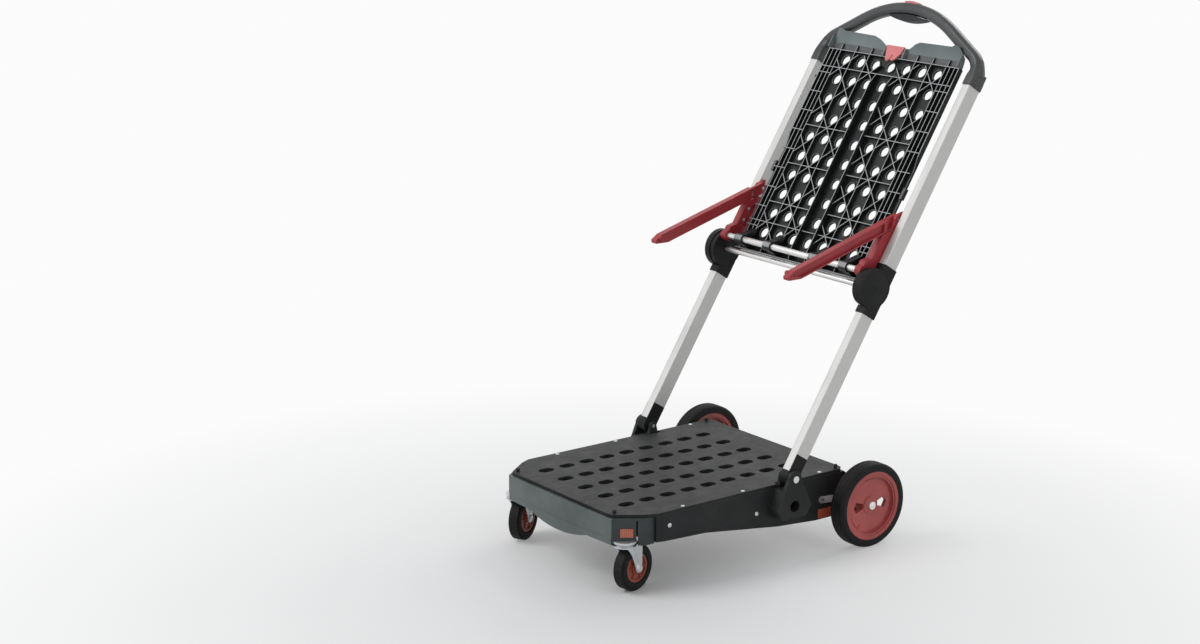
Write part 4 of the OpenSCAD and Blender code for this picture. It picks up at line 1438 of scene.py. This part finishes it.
@dataclass(frozen=True)
class Lamp:
    """A square soft lamp: its place and side in metres, and its power in watts."""

    name: str
    at: tuple[float, float, float]
    size: float
    watts: float

    def build(self, aim: Vector) -> None:
        """Hang the lamp.

        Args:
            aim: point that it faces.
        """
        data = bpy.data.lights.new(self.name, "AREA")
        data.shape, data.size, data.energy = "SQUARE", self.size, self.watts
        stand(self.name, data, Vector(self.at), aim - Vector(self.at))


def stand(name: str, data: bpy.types.ID, at: Vector, look: Vector) -> bpy.types.Object:
    """Put a lamp or a camera into the scene.

    Args:
        name: name of the object.
        data: the lamp or camera.
        at: its place.
        look: direction that it faces.

    Returns:
        The new object.
    """
    obj = bpy.data.objects.new(name, data)
    obj.location = at
    obj.rotation_mode = "QUATERNION"
    obj.rotation_quaternion = look.to_track_quat("-Z", "Y")
    bpy.context.scene.collection.objects.link(obj)
    return obj


@dataclass
class Studio:
    """Pale floor, soft light and the camera at the photograph's place."""

    camera_at: tuple[float, float, float] = (3.5391, -3.0057, 1.6156)
    azimuth_deg: float = 53.203
    elevation_deg: float = 14.345
    lens_mm: float = 70.66
    sensor_mm: float = 36.0
    aim: tuple[float, float, float] = (0.0, 0.0, 0.45)
    lamps: tuple[Lamp, ...] = (
        Lamp("key", (-1.6, -3.4, 3.4), 2.6, 105.0),
        Lamp("fill", (3.6, 0.4, 2.2), 2.4, 14.0),
        Lamp("back", (-0.6, 3.4, 3.2), 2.4, 50.0),
    )
    sky: Colour = (0.96, 0.98, 1.0)
    sky_strength: float = 0.62
    backdrop: Colour = (0.985, 0.985, 0.985)
    floor_half: float = 14.0
    floor_tones: tuple[Colour, Colour] = ((0.64, 0.645, 0.645), (0.67, 0.67, 0.67))
    floor_glow: float = 0.97
    grey_middle: tuple[float, float, float] = (0.25, -0.45, 0.0)
    grey_reach: Span = (0.05, 1.55)

    def build(self) -> None:
        """Build the floor, the world, the lamps and the camera."""
        self.floor()
        self.world()
        for lamp in self.lamps:
            lamp.build(Vector(self.aim))
        self.camera()
        bpy.context.scene.view_settings.view_transform = "Standard"

    def floor(self) -> None:
        """Lay the pale floor, which runs into the white of the background."""
        mesh = bmesh.new()
        bmesh.ops.create_grid(mesh, x_segments=8, y_segments=8, size=self.floor_half)
        floor = as_object("floor", mesh)
        shader = Shader("studio_floor")
        cloud = shader.between(shader.noise(Pattern(1.3, 3.0, 0.5)), 0.0, 1.0)
        shader.put("Base Color", shader.blend(cloud, *self.floor_tones))
        shader.put("Roughness", 0.75)
        shader.put("Specular IOR Level", 0.2)
        fine = shader.noise(Pattern(90.0, 3.0, 0.5))
        shader.put("Normal", shader.bump(fine, 0.0004, 0.2))
        glow = shader.add("ShaderNodeEmission")
        glow.inputs["Color"].default_value = (1.0, 1.0, 1.0, 1.0)
        glow.inputs["Strength"].default_value = self.floor_glow
        apart = shader.add("ShaderNodeVectorMath", "DISTANCE")
        shader.link(shader.place, apart.inputs[0])
        apart.inputs[1].default_value = self.grey_middle
        far = shader.between(apart.outputs["Value"], 0.0, 1.0, *self.grey_reach)
        mix = shader.add("ShaderNodeMixShader")
        shader.link(shader.pair("MULTIPLY", far, shader.seen_rays()), mix.inputs["Fac"])
        shader.link(shader.bsdf.outputs["BSDF"], mix.inputs[1])
        shader.link(glow.outputs["Emission"], mix.inputs[2])
        shader.link(mix.outputs["Shader"], shader.out.inputs["Surface"])
        floor.data.materials.append(shader.material)

    def world(self) -> None:
        """Show white to the camera and in reflections, and light the object softly."""
        world = bpy.data.worlds.new("studio_world")
        bpy.context.scene.world = world
        world.use_nodes = True
        nodes = Nodes(world.node_tree)
        out, mix = nodes.add("ShaderNodeOutputWorld"), nodes.add("ShaderNodeMixShader")
        nodes.link(nodes.seen_rays(), mix.inputs["Fac"])
        for place, colour, strength in ((1, self.sky, self.sky_strength), (2, self.backdrop, 1.0)):
            light = nodes.add("ShaderNodeBackground")
            light.inputs["Color"].default_value = (*colour, 1.0)
            light.inputs["Strength"].default_value = strength
            nodes.link(light.outputs[0], mix.inputs[place])
        nodes.link(mix.outputs[0], out.inputs["Surface"])

    def camera(self) -> None:
        """Stand the camera at the place and angle of the photograph."""
        data = bpy.data.cameras.new("photo_camera")
        data.sensor_fit, data.sensor_width = "HORIZONTAL", self.sensor_mm
        data.lens, data.clip_start, data.clip_end = self.lens_mm, 0.05, 100.0
        a, e = math.radians(self.azimuth_deg), math.radians(self.elevation_deg)
        look = Vector((-math.sin(a) * math.cos(e), math.cos(a) * math.cos(e), -math.sin(e)))
        bpy.context.scene.camera = stand("photo_camera", data, Vector(self.camera_at), look)


def main() -> None:
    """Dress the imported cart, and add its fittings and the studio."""
    logging.basicConfig(level=logging.INFO, format="%(name)s: %(message)s")
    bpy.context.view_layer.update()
    box = Paintbox()
    LOG.info("%d packed nodes dressed", box.dress_nodes())
    for assembly in (Castors, RearWheels, Knees, HandleBoots, ShelfRecess, Screws):
        assembly(box).build()
        LOG.info("%s built", assembly.__name__)
    Studio().build()


if __name__ == "__main__":
    main()
